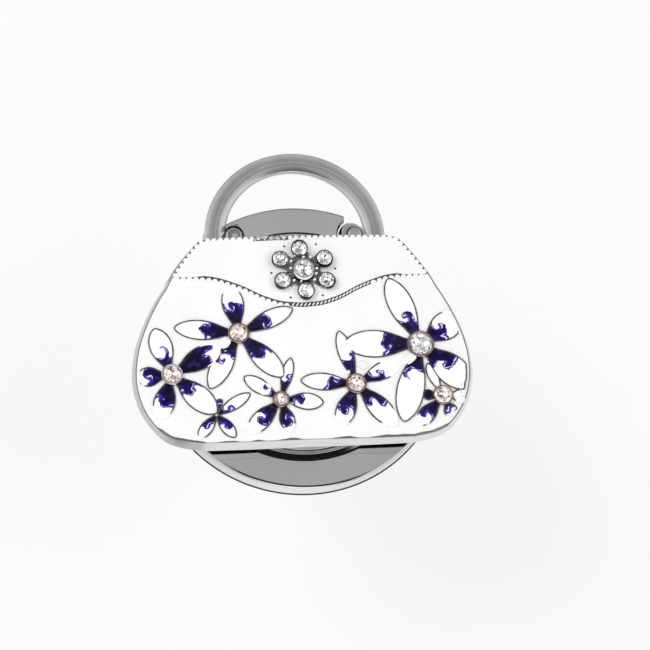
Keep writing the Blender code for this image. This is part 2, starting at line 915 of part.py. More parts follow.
def join_left_tab(bow):
    """The left leg drops behind the base and ends in the hinge's eye."""
    half = bow_width / 2
    inside = bow_radius - half
    drop = block((-bow_radius - half, leg_end_height, left_tab_bottom),
                 (-inside, left_lug.y + tab_width / 2, base_middle))
    join(bow, drop)
    strip = block((-bow_radius, left_lug.y - tab_width / 2, left_tab_bottom),
                  (left_lug.x, left_lug.y + tab_width / 2, left_tab_top))
    join(bow, strip)
    join(bow, rod(eye_radius, left_tab_bottom, left_tab_top, left_lug.xy))
    cut(bow, rod(hinge_pin_radius + pin_gap, left_tab_bottom - tab_thickness,
                 left_tab_top + pin_gap, left_lug.xy))


def make_swivel_block():
    low = right_tab_top() + seat_gap
    top = low + block_height
    eye = rod(eye_radius, low, top, right_lug.xy)
    eye.name = "swivel_block"
    half = stem_radius * neck_share
    join(eye, block((right_lug.x - half, stem_start() - half, low),
                    (right_lug.x + half, right_lug.y, base_middle + half)))
    join(eye, lying_rod(stem_radius, stem_end(), stem_start(), right_lug.x, base_middle))
    cut(eye, rod(rivet_radius + pin_gap, low - overrun, top + overrun, right_lug.xy))
    cut_clip_groove(eye)
    eye.data.materials.clear()
    eye.data.materials.append(finish("chrome"))
    shade_round(eye)


def groove_near():
    return stem_end() + groove_from_end


def cut_clip_groove(stem):
    near = groove_near()
    far = near + groove_width
    collar = lying_rod(stem_radius + pin_gap, near, far, right_lug.x, base_middle)
    cut(collar, lying_rod(stem_radius - groove_depth, near - groove_width, far + groove_width,
                          right_lug.x, base_middle))
    cut(stem, collar)


def make_clip():
    """Open spring clip in the stem's groove."""
    near = groove_near() + pin_gap
    far = groove_near() + groove_width - pin_gap
    outer = stem_radius + clip_width
    inner = stem_radius - groove_depth + pin_gap
    clip = lying_rod(outer, near, far, right_lug.x, base_middle)
    clip.name = "swivel_clip"
    cut(clip, lying_rod(inner, near - overrun, far + overrun, right_lug.x, base_middle))
    half = inner * clip_mouth_share
    mouth = block((right_lug.x - half, near - overrun, base_middle - outer - overrun),
                  (right_lug.x + half, far + overrun, base_middle))
    cut(clip, mouth)
    clip.data.materials.append(finish("magnet"))
    shade_round(clip)


def make_spring_washer():
    """Waved washer between the clip and the pocket's wall, which keeps the swivel firm."""
    inner = stem_radius + pin_gap
    outer = inner + washer_width
    middle = (groove_near() + groove_width + pocket_far_wall()) / 2
    shape = bmesh.new()
    rings = []
    for radius, face in ((inner, -1), (outer, -1), (outer, 1), (inner, 1)):
        ring = []
        for index in range(small_facets):
            degrees = 360.0 * index / small_facets
            x, z = polar(radius, degrees, (right_lug.x, base_middle))
            wave = washer_wave * math.sin(math.radians(washer_waves * degrees))
            y = middle + wave + face * washer_thickness / 2
            ring.append(shape.verts.new((x, y, z)))
        rings.append(ring)
    for first, second in zip(rings, rings[1:] + rings[:1]):
        bridge(shape, first, second)
    shade_round(solid("swivel_washer", shape, "magnet"))


def make_rivet():
    low = right_tab_top() - tab_thickness - seat_gap - rivet_head_height
    under = right_tab_top() - tab_thickness - seat_gap
    over = right_tab_top() + seat_gap + block_height + seat_gap
    crown = over + rivet_head_height
    profile = (
        (0.0, low), (rivet_head_radius, low), (rivet_head_radius, under), (rivet_radius, under),
        (rivet_radius, over), (rivet_head_radius, over),
        (rivet_head_radius, over + rivet_head_height / 2),
        (rivet_head_radius * head_crown_share, crown), (0.0, crown),
    )
    shade_round(turned("handle_rivet", profile, small_facets, "chrome", right_lug.xy))


def make_hinge_pin():
    low = arm_bottom - seat_gap - hinge_foot_height
    under = arm_bottom - seat_gap
    over = left_tab_top + seat_gap
    top = base_front + hinge_head_rise
    profile = (
        (0.0, low), (hinge_foot_radius, low), (hinge_foot_radius, under),
        (hinge_pin_radius, under), (hinge_pin_radius, over), (hinge_head_radius, over),
        (hinge_head_radius, top - hinge_head_rise), (hinge_head_radius * head_crown_share, top),
        (0.0, top),
    )
    shade_round(turned("hinge_pin", profile, small_facets, "chrome", left_lug.xy))


def make_hinge_washer():
    inner = hinge_pin_radius + pin_gap
    top = hinge_washer_bottom + hinge_washer_thickness
    profile = ((inner, hinge_washer_bottom), (hinge_washer_radius, hinge_washer_bottom),
               (hinge_washer_radius, top), (inner, top))
    washer = turned("hinge_washer", profile, small_facets, "magnet", left_lug.xy, True)
    shade_round(washer)


def smooth_step(share):
    share = min(max(share, 0.0), 1.0)
    return share * share * (3 - 2 * share)


def arm_place(degrees):
    """The arm's middle line: from the hinge in to its circle, and flared at the tip."""
    start = math.degrees(math.atan2(left_lug.y, left_lug.x))
    hinge_radius = left_lug.xy.length
    inward = smooth_step((degrees - start) / arm_blend_degrees)
    outward = smooth_step((degrees - arm_end_degrees + arm_flare_degrees) / arm_flare_degrees)
    radius = hinge_radius + (arm_radius - hinge_radius) * inward + arm_flare * outward
    return Vector(polar(radius, degrees))


def make_arm():
    start = math.degrees(math.atan2(left_lug.y, left_lug.x))
    count = math.ceil((arm_end_degrees - start) / arm_step_degrees)
    small_turn = 0.5
    stations = []
    for index in range(count + 1):
        stations.append((start + (arm_end_degrees - start) * index / count, 1.0))
    for turn_degrees in arm_tip_turns_degrees:
        turn = math.radians(turn_degrees)
        stations.append((arm_end_degrees + arm_round_degrees * math.sin(turn), math.cos(turn)))
    rings = []
    bevel = arm_thickness * arm_bevel_share
    for degrees, narrow in stations:
        place = arm_place(degrees)
        along = (arm_place(degrees + small_turn) - arm_place(degrees - small_turn)).normalized()
        out = Vector((along.y, -along.x))
        half = arm_width / 2 * narrow
        section = (
            (half, arm_bottom + bevel), (half, arm_top - bevel), (half - bevel * narrow, arm_top),
            (bevel * narrow - half, arm_top), (-half, arm_top - bevel),
            (-half, arm_bottom + bevel), (bevel * narrow - half, arm_bottom),
            (half - bevel * narrow, arm_bottom),
        )
        rings.append([(*(place + out * across), up) for across, up in section])
    arm = swept("hook_arm", rings, "chrome")
    join(arm, rod(eye_radius, arm_bottom, arm_top, left_lug.xy))
    cut(arm, rod(hinge_pin_radius + pin_gap, arm_bottom - overrun, arm_top + overrun,
                 left_lug.xy))
    shade_round(arm)


def axis_empty(name, place):
    empty = bpy.data.objects.new(name, None)
    bpy.context.collection.objects.link(empty)
    empty.location = place
    return empty


def hang(piece, empty):
    """Parent a piece to an empty on a joint's axis, where it already is in the world."""
    piece.data.transform(Matrix.Translation(-empty.location))
    piece.parent = empty


def main():
    clear_scene()
    make_base()
    make_pad()
    make_magnet()
    make_screws()
    make_plate()
    make_body_enamel()
    make_flap_enamel()
    make_flowers()
    make_flower_settings()
    make_brooch()
    make_bow()
    make_swivel_block()
    make_clip()
    make_spring_washer()
    make_rivet()
    make_hinge_pin()
    make_hinge_washer()
    make_arm()
    swivel_axis = axis_empty("swivel_axis", right_lug)
    hinge_axis = axis_empty("hinge_axis", left_lug)
    for name in swivelling_pieces:
        hang(bpy.data.objects[name], swivel_axis)
    for name in hook_pieces:
        hang(bpy.data.objects[name], hinge_axis)
    hinge_axis.location = left_lug - right_lug
    hinge_axis.parent = swivel_axis


main()
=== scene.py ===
# %% [markdown]
# A folding hook that holds a handbag at a table's edge. Its front is an enamelled plate in
# the shape of a small bag, screwed to a round metal base. The solids that work and
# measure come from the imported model, and this lesson dresses them, piece by piece.
# Lengths are written in millimetres times mm, because the scene's unit is the metre.

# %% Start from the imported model
import json
import math

import bpy
from mathutils import Matrix, Vector

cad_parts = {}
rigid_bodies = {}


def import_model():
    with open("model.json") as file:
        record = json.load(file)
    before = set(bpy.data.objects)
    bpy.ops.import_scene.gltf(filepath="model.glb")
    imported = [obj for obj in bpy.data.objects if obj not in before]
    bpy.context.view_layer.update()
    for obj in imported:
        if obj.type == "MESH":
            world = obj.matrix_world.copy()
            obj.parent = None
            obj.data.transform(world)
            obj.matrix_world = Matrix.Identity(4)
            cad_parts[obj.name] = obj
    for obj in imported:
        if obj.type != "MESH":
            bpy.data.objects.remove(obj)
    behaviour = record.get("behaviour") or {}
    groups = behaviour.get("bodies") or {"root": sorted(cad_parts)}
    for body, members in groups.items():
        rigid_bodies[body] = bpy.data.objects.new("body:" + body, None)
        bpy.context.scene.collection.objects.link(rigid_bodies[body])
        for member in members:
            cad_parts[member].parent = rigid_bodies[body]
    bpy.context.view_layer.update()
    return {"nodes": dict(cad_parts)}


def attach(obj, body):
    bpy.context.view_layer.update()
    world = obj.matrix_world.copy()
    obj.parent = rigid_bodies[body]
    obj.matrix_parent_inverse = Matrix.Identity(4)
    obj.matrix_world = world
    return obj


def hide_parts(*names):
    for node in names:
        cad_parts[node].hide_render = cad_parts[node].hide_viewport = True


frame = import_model()
mm = 0.001

# %% [markdown]
# Everything is modelled by hand, with the same operators as in the window. An operator
# works on all that is selected, so each piece starts with nothing selected.
# A turned or cut shape starts as a line that is drawn corner by corner: one point, then
# extruded from place to place. A primitive could be pushed into shape as well, but the
# bag's outline has no primitive near it.

# %% Draw a line and give it a face
def nothing_selected():
    if bpy.context.object and bpy.context.object.mode != "OBJECT":
        bpy.ops.object.mode_set(mode="OBJECT")
    bpy.ops.object.select_all(action="DESELECT")


def only(piece):
    nothing_selected()
    piece.select_set(True)
    bpy.context.view_layer.objects.active = piece


def draw_line(name, places):
    nothing_selected()
    bpy.ops.mesh.primitive_plane_add(size=0.1 * mm)
    piece = bpy.context.object
    piece.name = name
    piece.data.name = name
    bpy.ops.object.mode_set(mode="EDIT")
    bpy.ops.mesh.select_mode(type="VERT")
    bpy.ops.mesh.select_all(action="SELECT")
    bpy.ops.mesh.merge(type="CENTER")
    bpy.ops.transform.translate(value=places[0])
    for before, after in zip(places, places[1:]):
        step = [b - a for a, b in zip(before, after)]
        bpy.ops.mesh.extrude_region_move(TRANSFORM_OT_translate={"value": step})
    return piece


def draw_face(name, outline, height):
    piece = draw_line(name, [(x, y, height) for x, y in outline])
    bpy.ops.mesh.select_all(action="SELECT")
    bpy.ops.mesh.edge_face_add()
    return piece


# %% [markdown]
# An extrusion or an inset works on the faces that are selected, and a script can't click
# on them. So they are picked by where their middles are and which way they face. Every
# closed piece is then made to face outwards, because a Boolean and a glass finish both
# take the side that a face looks to as the outside.

# %% Pick faces, and turn them outwards
def pick_faces(piece, test):
    only(piece)
    bpy.ops.object.mode_set(mode="EDIT")
    bpy.ops.mesh.select_mode(type="FACE")
    bpy.ops.mesh.select_all(action="DESELECT")
    bpy.ops.object.mode_set(mode="OBJECT")
    for face in piece.data.polygons:
        face.select = test(face.center, face.normal)
    bpy.ops.object.mode_set(mode="EDIT")


def face_outwards(piece):
    only(piece)
    bpy.ops.object.mode_set(mode="EDIT")
    bpy.ops.mesh.select_all(action="SELECT")
    bpy.ops.mesh.normals_make_consistent(inside=False)
    bpy.ops.object.mode_set(mode="OBJECT")


# %% [markdown]
# Most pieces here are flat shapes with a thickness, or round. A slab is a face that is
# pulled up. A turned piece is half of its section, spun about an upright axis as on a
# lathe. A Screw modifier would do the same, but Spin leaves plain geometry, whose seam is
# merged at once.

# %% Slabs and turned pieces
def slab(name, outline, low, high):
    piece = draw_face(name, outline, low)
    bpy.ops.mesh.extrude_region_move(TRANSFORM_OT_translate={"value": (0, 0, high - low)})
    face_outwards(piece)
    return piece


def turn_on_lathe(name, profile, steps, centre=(0, 0)):
    """Spin a line of (radius, height) points about an upright axis, and close it."""
    x, y = centre
    piece = draw_line(name, [(x + radius, y, height) for radius, height in profile])
    bpy.ops.mesh.select_all(action="SELECT")
    bpy.ops.mesh.spin(steps=steps, angle=math.tau, center=(x, y, 0), axis=(0, 0, 1))
    bpy.ops.mesh.select_all(action="SELECT")
    bpy.ops.mesh.remove_doubles(threshold=0.001 * mm)
    face_outwards(piece)
    return piece


# %% [markdown]
# Boolean, Bevel and Weighted Normal do the fine work. Each modifier is applied as soon as
# it is added, so that the next operator works on the real mesh. Edges are rounded because
# no real edge is sharp, and the rounding catches the light. Weighted Normal keeps the
# large flat faces looking flat when a piece is shaded smooth.

# %% Modifiers that are applied at once
def use_modifier(piece, kind, **settings):
    """Add a modifier, set it, and apply it straight away."""
    only(piece)
    modifier = piece.modifiers.new(kind, kind)
    for setting, value in settings.items():
        setattr(modifier, setting, value)
    bpy.ops.object.modifier_apply(modifier=modifier.name)


def cut_away(piece, tool):
    use_modifier(piece, "BOOLEAN", object=tool, operation="DIFFERENCE", solver="EXACT")
    bpy.data.objects.remove(tool)


def keep_inside(piece, tool):
    use_modifier(piece, "BOOLEAN", object=tool, operation="INTERSECT", solver="EXACT")
    bpy.data.objects.remove(tool)


def soften_edges(piece, width, segments=2, degrees=30):
    use_modifier(piece, "BEVEL", width=width, segments=segments, limit_method="ANGLE",
                 angle_limit=math.radians(degrees), use_clamp_overlap=True)


def smooth(piece, degrees=35):
    """Shade smooth up to this angle, with the large flat faces kept flat."""
    only(piece)
    bpy.ops.object.shade_smooth_by_angle(angle=math.radians(degrees))
    use_modifier(piece, "WEIGHTED_NORMAL", keep_sharp=True, weight=80)
    return piece


# %% [markdown]
# A piece made of parts is joined to one. A place round a centre is given by radius and
# angle, which suits an object made of circles. At last each piece rides with the body that
# it is fixed to, so that it moves with it, and stands in for the plain solid it dresses.

# %% Join, place and dress
def put_together(name, parts):
    nothing_selected()
    for part in parts:
        part.select_set(True)
    bpy.context.view_layer.objects.active = parts[0]
    bpy.ops.object.join()
    parts[0].name = name
    parts[0].data.name = name
    return parts[0]


def place(radius, degrees, centre=(0.0, 0.0)):
    turn = math.radians(degrees)
    return (centre[0] + radius * math.cos(turn), centre[1] + radius * math.sin(turn))


def dressed(piece, body, *nodes, finish=None):
    """The piece rides with its body, stands for its solids, and gets its finish."""
    if finish:
        piece.data.materials.clear()
        piece.data.materials.append(finish)
    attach(piece, body)
    if nodes:
        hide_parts(*nodes)
    print(piece.name, "faces:", len(piece.data.polygons), "for", ", ".join(nodes) or "detail")


# %% [markdown]
# The photograph is taken from above with a long lens, the view tilted about twenty
# degrees to the bag's lower edge and seven degrees to its left. Three directions say it
# all: the picture's right, its up, and back to the camera. They were fitted to the round
# base and the bag's outline, which is surer than turning a camera by eye.

# %% The camera
picture_right = Vector((0.9922, -0.0502, 0.1144))
picture_up = Vector((0.0082, 0.9400, 0.3411))
to_camera = Vector((-0.1246, -0.3375, 0.9331))
camera_turn = Matrix((picture_right, picture_up, to_camera)).transposed().to_euler()
nothing_selected()
bpy.ops.object.camera_add(location=(-33.83 * mm, -98.93 * mm, 289.4 * mm), rotation=camera_turn)
camera = bpy.context.object
camera.data.lens = 110.77
camera.data.clip_start = 0.01
camera.data.clip_end = 20.0
bpy.context.scene.camera = camera
print("camera turned by", [round(math.degrees(angle), 1) for angle in camera_turn])

# %% [markdown]
# A small helper saves typing in the node trees: it adds one calculation and wires it.
# Each finish below is a Principled shader whose colour, roughness or bump varies with
# textures on Object coordinates, or on the piece's own UV map where a pattern follows it.

# %% Helpers for the finishes
def new_finish(name):
    material = bpy.data.materials.new(name)
    material.use_nodes = True
    return material, material.node_tree, material.node_tree.nodes["Principled BSDF"]


def grey(value):
    return (value, value, value)


def wire(tree, value, socket):
    """Link a socket, or type a number or colour in."""
    if isinstance(value, bpy.types.NodeSocket):
        tree.links.new(value, socket)
    else:
        socket.default_value = value


def calc(tree, operation, *values):
    node = tree.nodes.new("ShaderNodeMath")
    node.operation = operation
    for value, socket in zip(values, node.inputs):
        wire(tree, value, socket)
    return node.outputs[0]


def ramp(tree, value, stops):
    """A colour ramp with these (position, colour) stops."""
    node = tree.nodes.new("ShaderNodeValToRGB")
    wire(tree, value, node.inputs[0])
    points = node.color_ramp.elements
    while len(points) < len(stops):
        points.new(0.5)
    for point, (position, colour) in zip(points, stops):
        point.position = position
        point.color = (*colour, 1.0)
    return node.outputs[0]


def blend_colours(tree, share, first, second):
    node = tree.nodes.new("ShaderNodeMix")
    node.data_type = "RGBA"
    wire(tree, share, node.inputs["Factor"])
    for value, socket in ((first, node.inputs[6]), (second, node.inputs[7])):
        wire(tree, value if isinstance(value, bpy.types.NodeSocket) else (*value, 1.0), socket)
    return node.outputs[2]


# %% [markdown]
# The textures come next. Cloudy noise is given by the size of its blotches, and it lies on
# the object's own coordinates, so that it doesn't swim when the piece moves. A bump turns
# such a pattern into tiny slopes, where modelled waves would need far more faces. A smooth
# step sorts a value into no and yes, with a soft edge between them.

# %% Helpers for the textures
def speckle(tree, where, size, detail=2.0, roughness=0.5):
    """Cloudy noise whose blotches are about this big."""
    node = tree.nodes.new("ShaderNodeTexNoise")
    wire(tree, where, node.inputs["Vector"])
    node.inputs["Scale"].default_value = 1.0 / size
    node.inputs["Detail"].default_value = detail
    node.inputs["Roughness"].default_value = roughness
    return node.outputs["Fac"]


def object_place(tree):
    return tree.nodes.new("ShaderNodeTexCoord").outputs["Object"]


def raise_bump(tree, shader, height, distance, strength=1.0):
    node = tree.nodes.new("ShaderNodeBump")
    node.inputs["Distance"].default_value = distance
    node.inputs["Strength"].default_value = strength
    wire(tree, height, node.inputs["Height"])
    tree.links.new(node.outputs["Normal"], shader.inputs["Normal"])


def step_up(tree, value, low, high):
    """0 below low, 1 above high, and smooth between them."""
    node = tree.nodes.new("ShaderNodeMapRange")
    node.interpolation_type = "SMOOTHSTEP"
    wire(tree, value, node.inputs["Value"])
    node.inputs["From Min"].default_value = low
    node.inputs["From Max"].default_value = high
    return node.outputs["Result"]


def opposite(tree, share):
    """What is left to 1."""
    return calc(tree, "SUBTRACT", 1.0, share)


# %% [markdown]
# The metal is polished chrome plate. A mirror alone looks like a drawing, so a fine haze
# varies its roughness, and the plating has very faint waves. Hidden steel, the cast brooch
# and the settings round the stones are relatives of it with other colours and grain. Three
# of them are painted shade: a darker chrome, a dark grey for the gaps between beads, and a
# near black for seams, gaps and shadows. The bow's satin chrome is left a little short of
# metal, which gives it a soft pale sheen.

# %% Metals
def metal_finish(name, light, dark, blotch, smoothest, roughest, wave):
    material, tree, shader = new_finish(name)
    where = object_place(tree)
    cloud = speckle(tree, where, blotch, 4.0)
    grain = speckle(tree, where, blotch / 14, 2.0)
    tree.links.new(ramp(tree, cloud, ((0.35, dark), (0.65, light))), shader.inputs["Base Color"])
    haze = calc(tree, "ADD", calc(tree, "MULTIPLY", cloud, 0.6), calc(tree, "MULTIPLY", grain, 0.4))
    spread = calc(tree, "MULTIPLY_ADD", haze, roughest - smoothest, smoothest)
    tree.links.new(spread, shader.inputs["Roughness"])
    shader.inputs["Metallic"].default_value = 1.0
    raise_bump(tree, shader, grain, wave)
    return material


satin_chrome = metal_finish("satin_chrome", (0.70, 0.70, 0.71), (0.60, 0.60, 0.61),
                            7 * mm, 0.20, 0.28, 0.0006 * mm)
satin_chrome.node_tree.nodes["Principled BSDF"].inputs["Metallic"].default_value = 0.86
chrome = metal_finish("chrome_plate", (0.70, 0.70, 0.71), (0.66, 0.66, 0.67),
                      9 * mm, 0.05, 0.11, 0.0004 * mm)
satin_steel = metal_finish("satin_steel", (0.52, 0.52, 0.53), (0.44, 0.44, 0.45),
                           3 * mm, 0.25, 0.45, 0.004 * mm)
# Painted shade: a darker copy of the chrome, for faces that should look shaded.
painted_shade_chrome = metal_finish("painted_shade_chrome", (0.36, 0.36, 0.37), (0.31, 0.31, 0.32),
                           9 * mm, 0.10, 0.20, 0.0004 * mm)
cast_silver = metal_finish("cast_silver", (0.40, 0.40, 0.41), (0.20, 0.20, 0.21),
                           0.9 * mm, 0.20, 0.45, 0.02 * mm)
cup_silver = metal_finish("cup_silver", (0.86, 0.86, 0.87), (0.70, 0.70, 0.71),
                          1.2 * mm, 0.05, 0.16, 0.004 * mm)
# Painted shade: dark grey for the gaps between beads.
groove_shade_metal = metal_finish("groove_shade_metal", (0.26, 0.26, 0.27), (0.12, 0.12, 0.12),
                            0.7 * mm, 0.25, 0.5, 0.01 * mm)
cup_dark = metal_finish("cup_dark", (0.34, 0.34, 0.35), (0.14, 0.14, 0.14),
                        0.8 * mm, 0.12, 0.3, 0.01 * mm)
rose_metal = metal_finish("rose_metal", (0.60, 0.47, 0.43), (0.34, 0.23, 0.21),
                          0.8 * mm, 0.12, 0.30, 0.012 * mm)
# Painted shade: near black for seams, gaps and cast shadows.
painted_shade_metal = metal_finish("painted_shade_black", (0.035, 0.033, 0.033), (0.012, 0.011, 0.011),
                          0.6 * mm, 0.25, 0.5, 0.02 * mm)
print("metals:", [metal.name for metal in (chrome, satin_chrome, satin_steel, painted_shade_chrome)])
print("for settings and grooves:", [metal.name for metal in (
    cast_silver, cup_silver, groove_shade_metal, cup_dark, rose_metal, painted_shade_metal)])

# %% [markdown]
# The white enamel is glass fired on metal: very smooth, a clear layer over a nearly white
# one, with slight waves where it flowed and faint greyer clouds. Light spreads inside it,
# so shadows on it are weak. A faint glow does the same here, where real scattering would
# take long to render. The pad's rubber is only black, dull and finely grained.

# %% White enamel and rubber
def white_finish():
    material, tree, shader = new_finish("white_enamel_and_highlight")
    where = object_place(tree)
    cloud = speckle(tree, where, 6 * mm, 3.0)
    tree.links.new(ramp(tree, cloud, ((0.3, (0.90, 0.895, 0.895)), (0.7, (0.945, 0.94, 0.94)))),
                   shader.inputs["Base Color"])
    tree.links.new(calc(tree, "MULTIPLY_ADD", cloud, 0.06, 0.06), shader.inputs["Roughness"])
    shader.inputs["Coat Weight"].default_value = 0.5
    shader.inputs["Coat Roughness"].default_value = 0.03
    shader.inputs["Emission Color"].default_value = (1, 1, 1, 1)
    shader.inputs["Emission Strength"].default_value = 0.10
    raise_bump(tree, shader, speckle(tree, where, 1.6 * mm, 1.0), 0.004 * mm)
    return material


def rubber_finish():
    material, tree, shader = new_finish("black_rubber")
    where = object_place(tree)
    grain = speckle(tree, where, 0.18 * mm, 3.0)
    black = ramp(tree, grain, ((0.3, (0.012, 0.012, 0.013)), (0.7, (0.035, 0.035, 0.036))))
    tree.links.new(black, shader.inputs["Base Color"])
    tree.links.new(calc(tree, "MULTIPLY_ADD", grain, 0.25, 0.6), shader.inputs["Roughness"])
    raise_bump(tree, shader, grain, 0.03 * mm)
    return material


# White enamel; on some metal beads, strokes and prongs it is a painted highlight.
white_enamel_and_highlight = white_finish()
black_rubber = rubber_finish()
print("glass and rubber:", white_enamel_and_highlight.name, black_rubber.name)

# %% [markdown]
# The petals' enamel is the showpiece: near-black indigo at the root, stirred with brighter
# violet and curls of lilac and white while it was wet, and white towards the tip. Each
# petal has a UV map in millimetres along it and across it, so the pattern follows it. The
# colours start as plain bands across the petal and are then stirred as the maker did: two
# points per petal turn the pattern about themselves, strongly near the point and less
# further out, and that winds the bands into curls. A painted image could show the same
# curls, but would be the same on each petal.

# %% Stir a pattern
def stir(tree, spot, centre, angle, radius):
    """Turn the pattern about a point, most at the point and less with distance."""
    gap = tree.nodes.new("ShaderNodeVectorMath")
    gap.operation = "DISTANCE"
    tree.links.new(spot, gap.inputs[0])
    tree.links.new(centre, gap.inputs[1])
    near = calc(tree, "MULTIPLY", gap.outputs["Value"], 1.0 / radius)
    near = calc(tree, "EXPONENT", calc(tree, "MULTIPLY", calc(tree, "MULTIPLY", near, near), -1.0))
    turn = tree.nodes.new("ShaderNodeVectorRotate")
    turn.rotation_type = "Z_AXIS"
    tree.links.new(spot, turn.inputs["Vector"])
    tree.links.new(centre, turn.inputs["Center"])
    tree.links.new(calc(tree, "MULTIPLY", angle, near), turn.inputs["Angle"])
    return turn.outputs[0]


def split(tree, vector):
    node = tree.nodes.new("ShaderNodeSeparateXYZ")
    tree.links.new(vector, node.inputs[0])
    return node.outputs


def combine(tree, x, y):
    node = tree.nodes.new("ShaderNodeCombineXYZ")
    wire(tree, x, node.inputs[0])
    wire(tree, y, node.inputs[1])
    return node.outputs[0]


def face_value(tree, name):
    node = tree.nodes.new("ShaderNodeAttribute")
    node.attribute_name = name
    return split(tree, node.outputs["Vector"])


def petal_place(tree):
    """Millimetres along and across the petal."""
    node = tree.nodes.new("ShaderNodeUVMap")
    node.uv_map = "petal"
    return split(tree, node.outputs["UV"])


# %% [markdown]
# The colour follows one value, the depth: how far a place lies inside the edge of the
# indigo. White turns to lilac and to deeper and deeper indigo, with violet clouds and one
# broken pale streak half a millimetre inside the edge. A faint glow in the petal's own
# colour stands for light that spreads in the glass. Without it its white tips look grey
# beside the white field.

# %% Petal enamel
enamel_colours = (
    (0.088, (0.93, 0.925, 0.93)), (0.102, (0.42, 0.38, 0.80)), (0.125, (0.060, 0.040, 0.36)),
    (0.21, (0.020, 0.009, 0.16)), (0.36, (0.009, 0.002, 0.072)), (0.60, (0.004, 0.001, 0.018)),
)


def petal_finish():
    material, tree, shader = new_finish("stirred_enamel")
    where = object_place(tree)
    spot = petal_place(tree)
    left, right, _ = face_value(tree, "reach")
    curl_u, curl_v, angle = face_value(tree, "curl")
    wave = speckle(tree, where, 0.9 * mm, 1.0)
    slow = speckle(tree, where, 2.1 * mm, 0.0)
    along = calc(tree, "ADD", spot[0], calc(tree, "MULTIPLY_ADD", wave, 0.9, -0.45))
    across = calc(tree, "ADD", spot[1], calc(tree, "MULTIPLY_ADD", slow, 0.8, -0.40))
    first = combine(tree, curl_u, curl_v)
    second = combine(tree, calc(tree, "SUBTRACT", curl_u, 0.95),
                     calc(tree, "MULTIPLY_ADD", curl_v, -1.2, 0.1))
    moved = stir(tree, combine(tree, along, across), first, angle, 0.85)
    moved = stir(tree, moved, second, calc(tree, "MULTIPLY", angle, -0.7), 0.50)
    along, across, _ = split(tree, moved)
    reach = tree.nodes.new("ShaderNodeMapRange")
    tree.links.new(across, reach.inputs["Value"])
    reach.inputs["From Min"].default_value = -1.0
    reach.inputs["From Max"].default_value = 1.0
    tree.links.new(left, reach.inputs["To Min"])
    tree.links.new(right, reach.inputs["To Max"])
    depth = calc(tree, "SUBTRACT", reach.outputs[0], along)
    colour = ramp(tree, calc(tree, "MULTIPLY_ADD", depth, 0.25, 0.1), enamel_colours)
    violet = step_up(tree, speckle(tree, where, 1.0 * mm, 1.0), 0.56, 0.66)
    inside = step_up(tree, depth, 0.1, 0.4)
    clouds = calc(tree, "MULTIPLY", calc(tree, "MULTIPLY", violet, inside), 0.5)
    colour = blend_colours(tree, clouds, colour, (0.035, 0.020, 0.24))
    off = calc(tree, "ABSOLUTE", calc(tree, "SUBTRACT", depth, 0.52))
    streak = opposite(tree, step_up(tree, off, 0.05, 0.14))
    broken = step_up(tree, speckle(tree, where, 0.8 * mm, 0.0), 0.45, 0.55)
    colour = blend_colours(tree, calc(tree, "MULTIPLY", streak, broken), colour, (0.72, 0.68, 0.95))
    tree.links.new(colour, shader.inputs["Base Color"])
    tree.links.new(colour, shader.inputs["Emission Color"])
    shader.inputs["Emission Strength"].default_value = 0.15
    shader.inputs["Roughness"].default_value = 0.12
    shader.inputs["Specular IOR Level"].default_value = 0.3
    raise_bump(tree, shader, wave, 0.01 * mm)
    return material


stirred_enamel = petal_finish()
print("nodes of the petals' enamel:", len(stirred_enamel.node_tree.nodes))

# %% [markdown]
# The wires round the petals disappear under the white in places, mostly at the tips, so
# their finish turns from brown metal to white, with the enamel's faint glow, beyond a
# length that each petal has as a face value. Leaving the wire out there would also take
# away the enamel's edge.

# %% Wire that dips under the enamel
def wire_finish():
    material, tree, shader = new_finish("petal_wire")
    where = object_place(tree)
    along, _, _ = petal_place(tree)
    fade = face_value(tree, "reach")[2]
    patchy = calc(tree, "MULTIPLY_ADD", speckle(tree, where, 1.3 * mm, 1.0), 2.4, -1.2)
    beyond = calc(tree, "SUBTRACT", calc(tree, "ADD", along, patchy), fade)
    under = step_up(tree, beyond, -0.25, 0.25)
    metal = ramp(tree, speckle(tree, where, 1.1 * mm, 2.0),
                 ((0.35, (0.10, 0.07, 0.07)), (0.65, (0.34, 0.29, 0.28))))
    colour = blend_colours(tree, under, metal, (0.92, 0.915, 0.915))
    tree.links.new(colour, shader.inputs["Base Color"])
    metallic = calc(tree, "SUBTRACT", 0.8, calc(tree, "MULTIPLY", under, 0.8))
    tree.links.new(metallic, shader.inputs["Metallic"])
    tree.links.new(calc(tree, "MULTIPLY", under, 0.12), shader.inputs["Emission Strength"])
    shader.inputs["Emission Color"].default_value = (1, 1, 1, 1)
    shader.inputs["Roughness"].default_value = 0.25
    return material


petal_wire = wire_finish()
print("nodes of the petals' wire:", len(petal_wire.node_tree.nodes))

# %% [markdown]
# The stones are cut glass with foil behind, which is why such stones flash: light goes in
# through the crown, is thrown back by the foiled facets below and comes out again. So one
# mesh has two finishes, clear glass above the girdle and a mirror below it. The foil's
# colour wanders between silver, pink and amber from facet to facet, and some facets glow
# a little: a mesh this simple bounces the light once where a real stone does it often.

# %% Glass and foil for the stones
def stone_glass():
    material, tree, shader = new_finish("stone_glass")
    where = object_place(tree)
    tint = ramp(tree, speckle(tree, where, 0.8 * mm, 2.0),
                ((0.35, (1.0, 0.96, 0.95)), (0.65, (0.97, 0.98, 1.0))))
    tree.links.new(tint, shader.inputs["Base Color"])
    shader.inputs["Transmission Weight"].default_value = 1.0
    shader.inputs["Roughness"].default_value = 0.01
    shader.inputs["IOR"].default_value = 1.58
    return material


